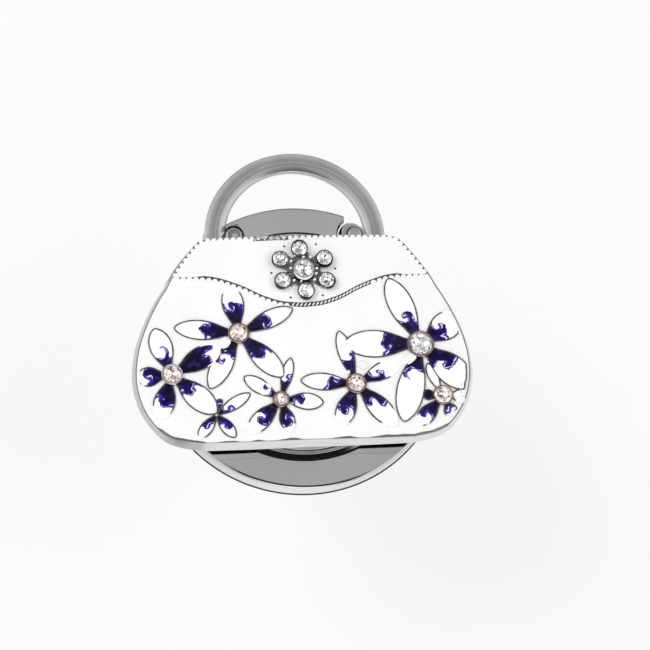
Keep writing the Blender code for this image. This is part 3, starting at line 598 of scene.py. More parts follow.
def stone_foil(name, colours):
    material, tree, shader = new_finish(name)
    where = object_place(tree)
    cells = tree.nodes.new("ShaderNodeTexVoronoi")
    tree.links.new(where, cells.inputs["Vector"])
    cells.inputs["Scale"].default_value = 1.0 / (0.30 * mm)
    share = tree.nodes.new("ShaderNodeSeparateColor")
    tree.links.new(cells.outputs["Color"], share.inputs[0])
    stops = [(index / (len(colours) - 1), colour) for index, colour in enumerate(colours)]
    tree.links.new(ramp(tree, share.outputs[0], stops), shader.inputs["Base Color"])
    shader.inputs["Metallic"].default_value = 1.0
    haze = calc(tree, "MULTIPLY_ADD", share.outputs[1], 0.15, 0.05)
    tree.links.new(haze, shader.inputs["Roughness"])
    flash = step_up(tree, share.outputs[2], 0.40, 0.55)
    tree.links.new(calc(tree, "MULTIPLY", flash, 0.45), shader.inputs["Emission Strength"])
    shader.inputs["Emission Color"].default_value = (*colours[2], 1.0)
    return material


clear_glass = stone_glass()
pink_foil = stone_foil("pink_foil", ((0.10, 0.06, 0.05), (0.95, 0.84, 0.80), (0.99, 0.95, 0.93),
                                     (0.60, 0.40, 0.34), (0.98, 0.93, 0.90)))
silver_foil = stone_foil("silver_foil", (grey(0.03), (0.90, 0.90, 0.91), grey(0.99),
                                         (0.30, 0.30, 0.31), grey(0.97)))
print("stones:", clear_glass.name, pink_foil.name, silver_foil.name)

# %% [markdown]
# The base is turned from one bar: a flat disc with a rounded edge, a raised seat for the
# plate, and a foot behind whose recess holds the pad. On a lathe only half its section is
# needed, so the section is drawn as a line and spun. The seat rises from the disc in a
# shallow cone with two fine rings and a low wall, which the photograph shows as bright
# lines in a black crescent below the plate.

# %% Turn the base
base_section = (
    (0.0, 1.2), (15.7, 1.2), (15.7, 0.7), (15.8, 0.55), (15.95, 0.5), (16.1, 0.55),
    (16.2, 0.7), (16.2, 3.8), (22.3, 3.8), (22.45, 3.85), (22.49, 3.97), (22.45, 4.09),
    (22.37, 4.2), (22.37, 4.4), (22.37, 7.0), (22.36, 7.12), (22.31, 7.22), (22.25, 7.27),
    (21.96, 7.39), (21.90, 7.4), (18.25, 7.4), (17.92, 7.53), (17.30, 7.78), (17.27, 7.82),
    (17.21, 7.82), (17.06, 7.88), (17.03, 7.92), (16.97, 7.92), (16.9, 7.95), (16.9, 8.5),
    (16.85, 8.63), (16.8, 8.7), (0.0, 8.7),
)


def in_mm(points):
    return [(across * mm, up * mm) for across, up in points]


base = turn_on_lathe("turned_base", in_mm(base_section), 180)
print("base:", len(base.data.vertices), "vertices")

# %% [markdown]
# Two notches in the base's top edge make room for the handle's lugs, one round and open to
# the left, the other open upwards and to the right. Each outline is an arc and a few
# straight lines. It becomes a slab taller than the base, and a Boolean cuts it away, which
# is surer than pulling the base's own faces about.

# %% Notches for the lugs
lug_x = 9.2 * mm
lug_y = 17.9 * mm
cap_x, cap_y = -9.45 * mm, 17.7 * mm
far = 26 * mm
left_radius = 1.62 * mm
left_wall = -10.66 * mm
left_end = 15.6 * mm
right_radius = 2.6 * mm
left_notch = [place(left_radius, 6 * step - 90, (cap_x, cap_y)) for step in range(39)]
left_notch += [(left_wall, far), (-far, far), (-far, left_end), (left_wall, left_end),
               (left_wall, cap_y - left_radius)]
right_notch = [place(right_radius, 126 + 6 * step, (lug_x, lug_y)) for step in range(25)]
right_notch += [(far, lug_y - right_radius), (far, far), (lug_x - 1.35 * mm, far)]
for name, outline in (("left_notch", left_notch), ("right_notch", right_notch)):
    cut_away(base, slab(name, outline, 0.5 * mm, 10 * mm))
print("with its notches:", len(base.data.vertices), "vertices")

# %% [markdown]
# The swivel's stem turns in a bore, and its washer and clip in a pocket behind. The magnet
# and the two screws have holes of their own. A cylinder or a block the size of the drill
# is cut away for each, the shortest way to a clean hole.

# %% Bores and pockets
def peg(name, radius, depth, centre, turn=(0, 0, 0), sides=32):
    nothing_selected()
    bpy.ops.mesh.primitive_cylinder_add(vertices=sides, radius=radius, depth=depth,
                                        location=centre, rotation=turn)
    piece = bpy.context.object
    piece.name = name
    bpy.ops.object.transform_apply(location=True, rotation=True, scale=True)
    return piece


def brick(centre, sizes):
    nothing_selected()
    bpy.ops.mesh.primitive_cube_add(size=1, location=centre, scale=sizes)
    bpy.ops.object.transform_apply(location=True, rotation=True, scale=True)
    return bpy.context.object


laid_down = (math.pi / 2, 0, 0)
magnet_x, magnet_y = place(18.6 * mm, 205)
cut_away(base, peg("bore", 1.0 * mm, 9 * mm, (lug_x, 13.4 * mm, 5.6 * mm), laid_down))
cut_away(base, peg("magnet_pocket", 1.6 * mm, 4 * mm, (magnet_x, magnet_y, 4.0 * mm)))
cut_away(base, brick((lug_x, 8.675 * mm, 3.8 * mm), (4.0 * mm, 2.25 * mm, 7.6 * mm)))
for side in (-9 * mm, 9 * mm):
    cut_away(base, peg("screw_hole", 1.6 * mm, 4 * mm, (0, side, 0.4 * mm)))
    cut_away(base, peg("screw_bore", 0.8 * mm, 12 * mm, (0, side, 5 * mm)))
print("with its bores:", len(base.data.vertices), "vertices")

# %% [markdown]
# A wide bevel, white in the photograph, runs round the right notch. A turned cone cuts it,
# a little off the notch's middle. Then the other edges are rounded and the faces get their
# metals: chrome, with painted shade in near black on the seams, the disc's lower edge and
# the seat's low wall, and in darker chrome on the wall beside the handle's leg, where the
# chrome would mirror a bright strip.

# %% The base's bevels and metals
bevel_section = ((0, 6.6), (2.40, 6.6), (2.80, 7.42), (2.80, 8.2), (0, 8.2))
bevel = turn_on_lathe("bevel_cutter", in_mm(bevel_section), 48, (9.18 * mm, 18.1 * mm))
for vertex in bevel.data.vertices:
    if vertex.co.z < 7 * mm:
        vertex.co -= Vector((0.06 * mm, 0.2 * mm, 0))
cut_away(base, bevel)
soften_edges(base, 0.10 * mm, 2, 55)
smooth(base, 30)
for metal in (chrome, painted_shade_metal, painted_shade_chrome):
    base.data.materials.append(metal)
# Painted shade: seams, lower edge line and seat wall near black; darker chrome beside the leg.
for face in base.data.polygons:
    spot, normal = face.center, face.normal
    reach = spot.xy.length
    seam = 17.9 * mm < reach < 18.24 * mm and spot.z > 7.4 * mm
    rim_shade_line = reach > 22.38 * mm and spot.z < 4.2 * mm
    seat_wall_shade = 16.8 * mm < reach < 16.93 * mm and abs(normal.z) < 0.5 and spot.z > 7.9 * mm
    leg_side_shade = normal.x < -0.3 and abs(spot.x + 10.6 * mm) < 0.2 * mm and spot.y > 15 * mm
    face.material_index = 2 if leg_side_shade else (1 if seam or rim_shade_line or seat_wall_shade else 0)
dressed(base, "base", "base_disc")

# %% [markdown]
# The plate's front is a very shallow dome, so the flat shapes are laid on it: each vertex
# drops by the crown's fall at its place, a quarter of a metre being the dome's radius.
# A Shrinkwrap onto a sphere would do the same, but would also flatten the relief.

# %% The crown
crown = 12.1 * mm
crown_radius = 250 * mm
half_width = 25.5 * mm


def crown_at(x, y):
    return crown - (x * x + y * y) / (2 * crown_radius)


def lay_on_crown(piece, above=9.5 * mm):
    for vertex in piece.data.vertices:
        if vertex.co.z > above:
            vertex.co.z += crown_at(vertex.co.x, vertex.co.y) - crown


print("the crown falls", round((crown - crown_at(half_width, 0)) / mm, 2), "mm to the side")

# %% [markdown]
# An outline needs few points when a smooth curve is laid through them. Steps of an even
# length along it then give beads and facets of one size, and an outline inside it is the
# same line moved in. A curve object could be bevelled and converted as well, but a list
# of points can also be cut, counted and measured.

# %% Curves, even steps and insets
def curve_through(points, steps):
    """A smooth curve that passes through all the points."""
    points = [Vector((*point, 0)) for point in points]
    extended = [points[0]] + points + [points[-1]]
    read = []
    for a, b, c, d in zip(extended, extended[1:], extended[2:], extended[3:]):
        for step in range(steps):
            t = step / steps
            bend = (2 * a - 5 * b + 4 * c - d) * t * t + (3 * b - a - 3 * c + d) * t * t * t
            spot = (2 * b + (c - a) * t + bend) / 2
            read.append((spot.x, spot.y))
    return read + [(points[-1].x, points[-1].y)]


def evenly(points, gap, closed=False):
    """Places along a line, this far apart, with the last on its end."""
    points = [Vector(point) for point in points]
    if closed:
        points.append(points[0])
    length = sum((b - a).length for a, b in zip(points, points[1:]))
    count = max(1, round(length / gap))
    wanted = [length * index / count for index in range(count + (0 if closed else 1))]
    read, gone = [], 0.0
    for a, b in zip(points, points[1:]):
        piece_length = (b - a).length
        while wanted and wanted[0] <= gone + piece_length + 1e-9:
            share = (wanted.pop(0) - gone) / piece_length if piece_length else 0.0
            read.append(tuple(a.lerp(b, min(share, 1.0))))
        gone += piece_length
    return read


def shrink(outline, distance):
    """Move a counter-clockwise outline inwards. The distance may be a function of the place."""
    moved = []
    for index, (x, y) in enumerate(outline):
        before = Vector(outline[index - 1])
        after = Vector(outline[(index + 1) % len(outline)])
        along = (after - before).normalized()
        amount = distance(x, y) if callable(distance) else distance
        moved.append((x - along.y * amount, y + along.x * amount))
    return moved


def clamped(share):
    return max(0.0, min(1.0, share))


print("even steps on a line of 4:", evenly([(0, 0), (4, 0)], 1))


# %% [markdown]
# One side of the bag is given as shares of its half width and its height, read from the
# photograph, and the other side mirrors it. The plate sits about one degree askew on the
# base, so its outline rises a little to the right. Its lower edge is bent up a little.

# %% The bag's outline
plate_top = 16.2 * mm
plate_low = -16.7 * mm
askew = 0.019
lowered = 0.20 * mm
side_shares = (
    (0.62, 0.0), (0.80, 0.042), (0.93, 0.152), (0.992, 0.29), (0.99, 0.43), (0.945, 0.562),
    (0.86, 0.705), (0.769, 0.812), (0.68, 0.912), (0.605, 0.982), (0.54, 1.0),
)
right_side = curve_through([(across * half_width, plate_low + up * (plate_top - plate_low))
                            for across, up in side_shares], 7)


def lower_edge(y):
    """1 along the plate's lower edge, 0 above it."""
    return clamped((-14.7 * mm - y) / (2.0 * mm))


bag_outline = evenly(right_side + [(-x, y) for x, y in reversed(right_side)], 0.8 * mm, True)
for index, (x, y) in enumerate(bag_outline):
    ends = min(1.0, abs(x) / (15.8 * mm))
    bent = lower_edge(y) * (0.30 * ends ** 2 + 0.20 * (1 - ends)) * mm
    bag_outline[index] = (x, y + askew * x - lowered + bent)
print("outline points:", len(bag_outline))

# %% [markdown]
# The flap's edge hangs down in the middle like a soft letter V. It is drawn the same way,
# as shares of the plate's half width and of the dip, and lies askew a little less.

# %% The flap's line
flap_shares = ((1.0, 0.0), (0.70, 0.02), (0.53, 0.10), (0.45, 0.20), (0.34, 0.42), (0.23, 0.72),
               (0.12, 0.93), (0.0, 1.0))
flap_right = curve_through([(across * half_width, 9.6 * mm - dip * 4.6 * mm)
                            for across, dip in flap_shares], 10)
flap_line = sorted([(-x, y) for x, y in flap_right[:-1]] + flap_right)
flap_askew = 0.010
flap_line = [(x, y + flap_askew * x + 0.42 * mm * clamped((abs(x) / mm - 6) / 8))
             for x, y in flap_line]


def line_height(x):
    for (x0, y0), (x1, y1) in zip(flap_line, flap_line[1:]):
        if x0 <= x <= x1 and x1 > x0:
            return y0 + (y1 - y0) * (x - x0) / (x1 - x0)
    return flap_line[0][1]


print("flap line from", round(flap_line[0][0] / mm, 1), "to", round(flap_line[-1][0] / mm, 1))

# %% [markdown]
# The plate is a casting with a rim. Its outline becomes a thin slab, the lip. The front is
# extruded and drawn in a little, so that the wall leans back like any casting that has to
# leave its mould, and catches the light from the front. A narrow inset makes the rim, the
# face inside is pushed down for the enamel, and the front is laid on the crown. Its back
# and the recess's walls get near black as painted shade, and the undercut below the lip
# gets darker chrome, which is painted shade as well.

# %% Cast plate
plate_back = 8.8 * mm
lip_level = 9.9 * mm
rim_width = 0.16 * mm
recess_depth = 0.8 * mm


def draft(x, y):
    """How far the wall leans in from the lip to the rim: little behind the flap's beads."""
    upper = clamped((y - 8.0 * mm) / (2.0 * mm))
    return ((0.46 + 0.04 * lower_edge(y)) * (1 - upper) + 0.08 * upper) * mm


lip_outline = []
for x, y in bag_outline:
    leftwards = clamped(-x / (15 * mm))
    lip_outline.append((x, y - (0.11 * mm + 0.17 * mm * leftwards) * lower_edge(y)))
rim_outline = shrink(bag_outline, draft)
back_outline = shrink(lip_outline, 0.55 * mm)
plate = slab("cast_plate", lip_outline, plate_back, lip_level)
pick_faces(plate, lambda centre, normal: normal.z > 0.9)
bpy.ops.mesh.extrude_region_move(TRANSFORM_OT_translate={"value": (0, 0, crown - lip_level)})
bpy.ops.object.mode_set(mode="OBJECT")
for vertex in plate.data.vertices:
    in_front, at_back = vertex.co.z > 11 * mm, vertex.co.z < 9 * mm
    if in_front or at_back:
        gaps = [(vertex.co.xy - Vector(spot)).length for spot in lip_outline]
        vertex.co.xy = (rim_outline if in_front else back_outline)[gaps.index(min(gaps))]
pick_faces(plate, lambda centre, normal: normal.z > 0.9 and centre.z > 11 * mm)
bpy.ops.mesh.inset(thickness=rim_width, depth=0.0)
bpy.ops.mesh.extrude_region_move(TRANSFORM_OT_translate={"value": (0, 0, -recess_depth)})
bpy.ops.object.mode_set(mode="OBJECT")
soften_edges(plate, 0.07 * mm, 3, 25)
lay_on_crown(plate, 10.8 * mm)
for metal in (chrome, painted_shade_metal, painted_shade_chrome):
    plate.data.materials.append(metal)
# Painted shade: back and recess walls near black, downward faces darker chrome.
for face in plate.data.polygons:
    normal = face.normal
    sunk = crown_at(*face.center.xy) - face.center.z
    inwards = normal.xy.dot(face.center.xy) < -0.3 * face.center.xy.length
    floor_of_recess = normal.z > 0.9 and sunk > 0.5 * mm
    recess = 0.12 * mm < sunk < 0.95 * mm and (inwards or floor_of_recess)
    face.material_index = 1 if normal.z < -0.9 or recess else (2 if normal.z < -0.1 else 0)
smooth(plate, 40)
dressed(plate, "base", "plate_shell")

# %% [markdown]
# The enamel fills two fields, the bag's body and its flap. A field's outline is the bag's
# outline moved in, cut by the flap's line: the run of points on the wanted side is closed
# along the line, from crossing to crossing. A Boolean could cut it, but an outline of even
# points is wanted for the beads as well.

# %% The outline of a field
def field(edge, line_drop, is_flap):
    """The part of a closed outline above or below the flap's line, moved down a little."""
    inside = [(y > line_height(x) - line_drop(x)) == is_flap for x, y in edge]
    count = len(edge)
    start = next(i for i in range(count) if inside[i] and not inside[i - 1])
    chain = []
    while inside[start % count]:
        chain.append(edge[start % count])
        start += 1
    neighbours = (edge[edge.index(chain[0]) - 1], edge[start % count])
    crossings = []
    for here, there in zip((chain[0], chain[-1]), neighbours):
        a, b = (y - line_height(x) + line_drop(x) for x, y in (here, there))
        crossings.append(tuple(Vector(here).lerp(Vector(there), 0.98 * a / (a - b))))
    chain = [crossings[0]] + chain + [crossings[1]]
    low, high = sorted((chain[0][0], chain[-1][0]))
    across = [(x, y - line_drop(x)) for x, y in evenly(flap_line, 0.5 * mm) if low < x < high]
    return chain + (across if is_flap else across[::-1])


# %% [markdown]
# The slab of enamel must follow the crown in the middle as well, so it starts as a grid
# that is laid on the crown and extruded down, and the field's outline then cuts it to
# shape. One face filled from the outline would span the dome in long thin triangles.

# %% Enamel that follows the crown
enamel_thick = 0.6 * mm


def enamel_slab(name, outline, top_drop):
    nothing_selected()
    bpy.ops.mesh.primitive_grid_add(x_subdivisions=44, y_subdivisions=30, size=1)
    piece = bpy.context.object
    piece.name = name
    bpy.ops.object.mode_set(mode="EDIT")
    bpy.ops.mesh.select_all(action="SELECT")
    bpy.ops.transform.resize(value=(56 * mm, 38 * mm, 1))
    bpy.ops.transform.translate(value=(0.013 * mm, 0.017 * mm, crown - top_drop))
    bpy.ops.object.mode_set(mode="OBJECT")
    lay_on_crown(piece)
    only(piece)
    bpy.ops.object.mode_set(mode="EDIT")
    bpy.ops.mesh.select_all(action="SELECT")
    bpy.ops.mesh.extrude_region_move(TRANSFORM_OT_translate={"value": (0, 0, -enamel_thick)})
    face_outwards(piece)
    keep_inside(piece, slab(name + "_tool", outline, plate_back, 16 * mm))
    return smooth(piece, 35)


# %% [markdown]
# How far the enamel keeps from the rim and from the flap's line changes along the way.
# At the lower edge it ran over the joint in places while it was wet, so the gap there
# closes and opens. The flap's line is a twisted cord from the middle to the right and
# beads elsewhere, and near its two ends enamel has filled the groove. An inset has one
# width for all of it, so each of these is a small function of the place.

# %% Gaps and drops
def lower_edge_gap(x, y):
    """The joint between enamel and rim, closed where the enamel ran over it."""
    if y > -14.5 * mm:
        return draft(x, y) + 0.24 * mm
    runs = sum(math.exp(-((x / mm - spot) / 1.5) ** 2)
               for spot in (-13.8, -9.3, -5.2, 0.3, 2.7, 8.4))
    return 0.95 * mm - 0.39 * mm * min(runs, 1.0) + 0.05 * mm * math.sin(x / mm * 2.3)


def corded(x):
    """1 where the line is a twisted cord, 0 where it is beads."""
    return clamped((x + 2.2 * mm) / mm) * clamped((11.2 * mm - x) / mm)


def filled(x):
    """1 near the two ends of the line, where enamel has filled its groove."""
    return clamped((abs(x) - 14.6 * mm) / (1.5 * mm))


def bead_inset(x, y):
    """The row stands at the very edge on top, and further in on the slopes."""
    return (0.40 + 0.14 * clamped((15.9 * mm - y) / mm)) * mm


def body_drop(x):
    return (0.62 + 0.12 * corded(x) - 0.30 * clamped(abs(x) / mm - 18.3)) * mm


def flap_drop(x):
    return -0.02 * mm + 0.30 * mm * filled(x)


print("gap at the lower edge:", round(lower_edge_gap(0.0, -15 * mm) / mm, 2), "mm")


# %% [markdown]
# Now the two fields are made. Both lie a hair below the rim, the body's a little lower
# than the flap's, which is how the flap seems to lie on the bag.

# %% Enamel of the body and of the flap
body_edge = field(shrink(bag_outline, lower_edge_gap), body_drop, False)
flap_edge = field(shrink(bag_outline, lambda x, y: bead_inset(x, y) + 0.02 * mm), flap_drop, True)
body_enamel = enamel_slab("white_body", body_edge, 0.05 * mm)
flap_enamel = enamel_slab("white_flap", flap_edge, 0.02 * mm)
dressed(body_enamel, "base", "body_enamel", finish=white_enamel_and_highlight)
dressed(flap_enamel, "base", "flap_enamel", finish=white_enamel_and_highlight)

# %% [markdown]
# Rows of small beads edge the flap, as milgrain does on jewellery. One bead is made from an
# icosphere, flattened a little, and copied along the line at an even pitch. The flap's
# lower row hangs under a groove of painted shade. The beads are metal, but they wear the
# white enamel's finish as a painted highlight. Spheres of rings and segments would do as
# well, but an icosphere has its few faces more evenly spread.

# %% Beads round the flap
bead_pitch = 0.95 * mm


def bead(name, radius, squash=0.8, stretch=1.0, turn=0.0):
    nothing_selected()
    bpy.ops.mesh.primitive_ico_sphere_add(subdivisions=2, radius=radius)
    piece = bpy.context.object
    piece.name = name
    bpy.ops.object.mode_set(mode="EDIT")
    bpy.ops.mesh.select_all(action="SELECT")
    bpy.ops.transform.resize(value=(stretch, 1.0, squash))
    bpy.ops.object.mode_set(mode="OBJECT")
    piece.rotation_euler.z = turn
    only(piece)
    bpy.ops.object.transform_apply(location=True, rotation=True, scale=True)
    bpy.ops.object.shade_smooth()
    return piece


def copies(name, pattern, spots):
    """A copy of the pattern at each place, each with its own mesh, joined into one piece."""
    parts = []
    for spot in spots:
        copy = pattern.copy()
        copy.data = pattern.data.copy()
        bpy.context.collection.objects.link(copy)
        for vertex in copy.data.vertices:
            vertex.co += Vector(spot)
        parts.append(copy)
    bpy.data.objects.remove(pattern)
    return put_together(name, parts)


def on_crown(points, rise):
    return [(x, y, crown_at(x, y) + rise) for x, y in points]


def upper_part(outline):
    """The stretch of a closed outline that edges the flap, in one run."""
    over = [y > line_height(x) - 0.2 * mm for x, y in outline]
    start = next(i for i in range(len(outline)) if over[i] and not over[i - 1])
    return [outline[(start + i) % len(outline)] for i in range(sum(over))]


rim_spots = evenly(upper_part(shrink(bag_outline, bead_inset)), bead_pitch)
flap_bottom = [(x, y) for x, y in flap_line if abs(x) < 18.9 * mm]
flap_spots = [(x, y - 0.62 * mm) for x, y in evenly(flap_bottom, bead_pitch) if corded(x) < 0.5]
rim_beads = copies("rim_beads", bead("bead", 0.43 * mm, 0.55), on_crown(rim_spots, -0.12 * mm))
flap_beads = copies("flap_beads", bead("bead", 0.44 * mm, 0.55), on_crown(flap_spots, -0.14 * mm))
print("beads:", len(rim_spots), "round the rim and", len(flap_spots), "under the flap")
# The metal beads wear the white enamel's finish: a painted highlight.
dressed(rim_beads, "base", finish=white_enamel_and_highlight)
dressed(flap_beads, "base", finish=white_enamel_and_highlight)

# %% [markdown]
# Between the beads the photograph shows dark gaps, where the white enamel would shine
# through. So a ribbon of dark grey lies under each row as painted shade, the same line
# moved to both sides. Where the flap's line is a twisted cord it has a row of slanted
# strokes, each a bead stretched to a grain, white as a painted highlight on the cord.
# At the plate's top edge a few lumps of bare metal show.

# %% Painted shade behind the beads, and the cord's painted highlights
def ribbon(name, line, half, low, high):
    line = [Vector(point) for point in line]
    sides = []
    for sign in (1, -1):
        edge = []
        for index, spot in enumerate(line):
            along = (line[min(index + 1, len(line) - 1)] - line[max(index - 1, 0)]).normalized()
            edge.append((spot.x - sign * along.y * half, spot.y + sign * along.x * half))
        sides.append(edge)
    piece = slab(name, sides[1] + sides[0][::-1], crown + low, crown + high)
    lay_on_crown(piece)
    return smooth(piece)


groove_line = evenly([(x, y - 0.35 * mm) for x, y in flap_line if abs(x) < 19.3 * mm], 0.8 * mm)
groove_shade_strip = ribbon("flap_shade_strip", groove_line, 0.50 * mm, -0.75 * mm, -0.16 * mm)
rim_path = upper_part(shrink(bag_outline, 0.40 * mm))
rim_shade_strip = ribbon("rim_shade_strip", rim_path, 0.28 * mm, -0.75 * mm, -0.10 * mm)
cord_line = evenly([(x, y - 0.36 * mm) for x, y in flap_line if corded(x) > 0.5], 0.62 * mm)
stroke = bead("stroke", 0.12 * mm, 0.9, 2.9, math.radians(52))
strokes = copies("cord_stroke_highlights", stroke, on_crown(cord_line, -0.10 * mm))
patch_spots = [((-6.6 + 0.36 * index) * mm,
                (15.30 + 0.30 * (index % 2) + 0.1 * (index % 3)) * mm) for index in range(14)]
lump = bead("lump", 0.20 * mm, 0.9, 1.2, 0.7)
patch = copies("top_lumps", lump, on_crown(patch_spots, 0.10 * mm))
patch_line = evenly([(-6.9 * mm, 15.42 * mm), (-1.6 * mm, 15.62 * mm)], 0.8 * mm)
patch_strip = ribbon("top_patch", patch_line, 0.34 * mm, -0.3 * mm, 0.05 * mm)
# Painted shade under the beads, painted highlights on the cord; lumps and patch are metal.
for piece, finish in ((groove_shade_strip, groove_shade_metal), (rim_shade_strip, groove_shade_metal),
                      (strokes, white_enamel_and_highlight), (patch, cup_silver), (patch_strip, cast_silver)):
    dressed(piece, "base", finish=finish)

# %% [markdown]
# The flowers are laid over the whole field, and a petal that would cross the rim or the
# flap's line is drawn back. Whether a place is inside is found by counting how often a ray
# from it crosses the outline: an odd number of times from inside. A Boolean with the field
# would cut a petal off straight, where the maker bent it.

# %% Petals stay inside the field
flower_edge = shrink(bag_outline, 0.98 * mm)


def inside_body(x, y):
    crossings = 0
    for (x0, y0), (x1, y1) in zip(flower_edge, flower_edge[1:] + flower_edge[:1]):
        if (y0 > y) != (y1 > y) and x < x0 + (y - y0) * (x1 - x0) / (y1 - y0):
            crossings += 1
    return crossings % 2 == 1 and y < line_height(x) - 0.60 * mm


def drawn_back(centre, x, y):
    """The place itself, or the last one on the way from the flower's centre that fits."""
    for _ in range(60):
        if inside_body(x, y):
            break
        x += (centre[0] - x) * 0.02
        y += (centre[1] - y) * 0.02
    return x, y


print("inside the body: its middle", inside_body(0, 0), "and the brooch", inside_body(0, 10 * mm))


# %% [markdown]
# A petal is a cell of fine wire filled with enamel. Its outline is narrow at the root and
# full towards the tip. Face, extrude, inset for the wire's width, then small insets that
# rise again make the enamel's pillow. Each petal lies a hair higher than the one before,
# because they overlap. A curve with a bevel could be the wire, but an inset keeps wire
# and enamel in one piece whose UV map and face values serve both finishes.

# %% One petal
petal_shape = ((0.0, 0.34), (0.12, 0.52), (0.30, 0.84), (0.48, 1.0), (0.66, 0.97),
               (0.82, 0.76), (0.93, 0.44), (0.98, 0.20))
wire_width = 0.16 * mm


def petal(centre, hub, lift, degrees, length, width, left, right, curl, fade):
    along = Vector(place(1.0, degrees))
    side = Vector((along.y, -along.x))
    root = hub * 0.7
    half_line = curve_through(petal_shape, 3)
    places = []
    for sign, line in ((1, half_line), (-1, half_line[::-1])):
        for share, half in line:
            spot = Vector(centre) + along * (root + (length - root) * share)
            spot += side * sign * width / 2 * half
            places.append(drawn_back(centre, spot.x, spot.y))
        if sign == 1:
            tip = Vector(centre) + along * length
            places.append(drawn_back(centre, tip.x, tip.y))
    piece = draw_face("petal", evenly(places, 0.28 * mm, True), crown - 0.2 * mm)
    bpy.ops.mesh.extrude_region_move(TRANSFORM_OT_translate={"value": (0, 0, 0.30 * mm + lift)})
    face_outwards(piece)
    pick_faces(piece, lambda spot, normal: normal.z > 0.9)
    piece.data.materials.append(petal_wire)
    piece.data.materials.append(stirred_enamel)
    pillow = min(0.30 * mm, width * 0.10)
    bpy.ops.mesh.inset(thickness=wire_width, depth=0, use_even_offset=False)
    bpy.ops.mesh.inset(thickness=0.04 * mm, depth=-0.07 * mm, use_even_offset=False)
    piece.active_material_index = 1
    bpy.ops.object.material_slot_assign()
    bpy.ops.mesh.inset(thickness=pillow / 2, depth=0.07 * mm, use_even_offset=False)
    bpy.ops.mesh.inset(thickness=pillow, depth=0.06 * mm, use_even_offset=False)
    bpy.ops.object.mode_set(mode="OBJECT")
    uv = piece.data.uv_layers.new(name="petal")
    for loop in piece.data.loops:
        spot = Vector(piece.data.vertices[loop.vertex_index].co.xy) - Vector(centre)
        uv.data[loop.index].uv = (spot.dot(along) / mm, spot.dot(side) / mm)
    for name, vector in (("reach", (left, right, fade)), ("curl", curl)):
        values = piece.data.attributes.new(name, "FLOAT_VECTOR", "FACE").data
        for value in values:
            value.vector = vector
    lay_on_crown(piece)
    return piece


# %% [markdown]
# Seven flowers lie on the body, placed as in the photograph: a centre and the radius of
# the setting in it. Each petal has its direction, length and width, how far the indigo
# reaches on its left and on its right, the point and strength of its curl, and the
# length beyond which its wire is hidden. The last flower has no stone and lies partly
# under a petal of its neighbour. Copies of one flower would be quicker, but no two are
# alike.

# %% The seven flowers
no_fade = 20
flowers = (
    ((-9.7, 0.2), 1.65, (
        (98, 7.9, 3.3, 5.2, 4.2, (4.2, -0.2, 3.6), 6.6),
        (173, 9.6, 3.1, 4.9, 5.7, (4.9, 0.5, -3.4), no_fade),
        (242, 9.6, 3.2, 4.1, 4.9, (4.6, 0.3, 3.8), no_fade),
        (313, 9.4, 3.4, 5.7, 4.2, (4.6, -0.4, 2.2), no_fade),
        (385, 9.1, 2.8, 4.6, 5.4, (4.4, 0.4, -3.2), no_fade),
    )),
    ((-19.7, -5.9), 1.65, (
        (108, 7.7, 3.4, 3.6, 2.9, (3.9, -0.2, 3.9), no_fade),
        (183, 5.2, 3.0, 3.9, 3.9, (3.3, 0.0, 2.0), 4.4),
        (255, 7.0, 3.2, 5.0, 4.6, (4.0, 0.4, -2.6), 5.6),
        (317, 8.9, 3.6, 4.8, 3.4, (3.9, -0.3, 2.4), no_fade),
        (389, 8.3, 3.5, 7.8, 5.8, (5.4, 0.5, 2.8), 5.6),
    )),
    ((-3.8, -10.1), 1.3, (
        (75, 6.7, 1.8, 3.5, 3.9, (3.5, 0.3, 2.6), no_fade),
        (146, 6.5, 2.3, 2.9, 2.5, (2.5, 0.2, 3.4), no_fade),
        (225, 7.1, 2.8, 4.1, 4.6, (4.1, 0.2, -4.2), 5.9),
        (284, 5.1, 2.3, 3.9, 3.8, (3.2, 0.0, 3.2), 4.0),
        (355, 6.3, 2.6, 2.9, 2.9, (2.6, 0.2, -3.0), no_fade),
    )),
    ((7.4, -7.8), 1.6, (
        (26, 7.7, 2.7, 3.2, 4.4, (3.6, -0.2, 3.4), 5.0),
        (105, 8.6, 2.4, 4.4, 4.2, (4.3, 0.3, 2.4), no_fade),
        (176, 8.3, 2.7, 4.8, 3.2, (3.2, 0.3, -2.2), no_fade),
        (247, 7.1, 3.0, 5.0, 4.4, (4.3, -0.2, 3.2), 5.6),
        (312, 8.6, 3.3, 5.4, 3.0, (3.4, 0.3, 2.0), 6.6),
    )),
    ((17.45, -1.6), 2.1, (
        (36, 8.3, 4.3, 4.4, 4.2, (4.2, -0.4, 3.6), 6.0),
        (112, 11.4, 4.0, 5.4, 3.8, (4.7, -0.3, 4.0), no_fade),
        (180, 11.7, 4.3, 6.0, 5.6, (5.0, -0.1, 3.0), no_fade),
        (255, 12.5, 4.2, 4.6, 4.9, (5.2, 0.2, 3.8), no_fade),
        (319, 10.1, 4.8, 5.9, 4.1, (4.7, 0.0, -2.8), no_fade),
    )),
    ((20.4, -9.7), 1.55, (
        (4, 3.9, 1.9, 1.6, 1.6, (2.2, 0.0, 1.0), 3.0),
        (112, 5.6, 1.7, 0.0, 0.0, (2.0, 0.0, 0.0), no_fade),
        (174, 3.2, 1.7, 5.0, 5.0, (2.0, 0.0, 0.0), no_fade),
        (227, 6.1, 2.5, 4.6, 4.0, (4.0, 0.2, 2.8), 5.0),
        (296, 3.4, 2.2, 2.4, 2.4, (2.2, 0.0, 1.0), 2.6),
    )),
    ((-13.3, -12.2), 0.0, (
        (32, 6.0, 1.9, 1.9, 2.4, (2.0, 0.2, 2.4), no_fade),
        (81, 3.6, 1.3, 2.2, 2.2, (2.0, 0.0, 1.0), 2.4),
        (232, 4.4, 1.9, 2.4, 2.3, (2.0, 0.0, 2.6), 4.0),
        (308, 4.4, 1.9, 2.5, 2.3, (2.1, 0.0, -2.6), no_fade),
    )),
)
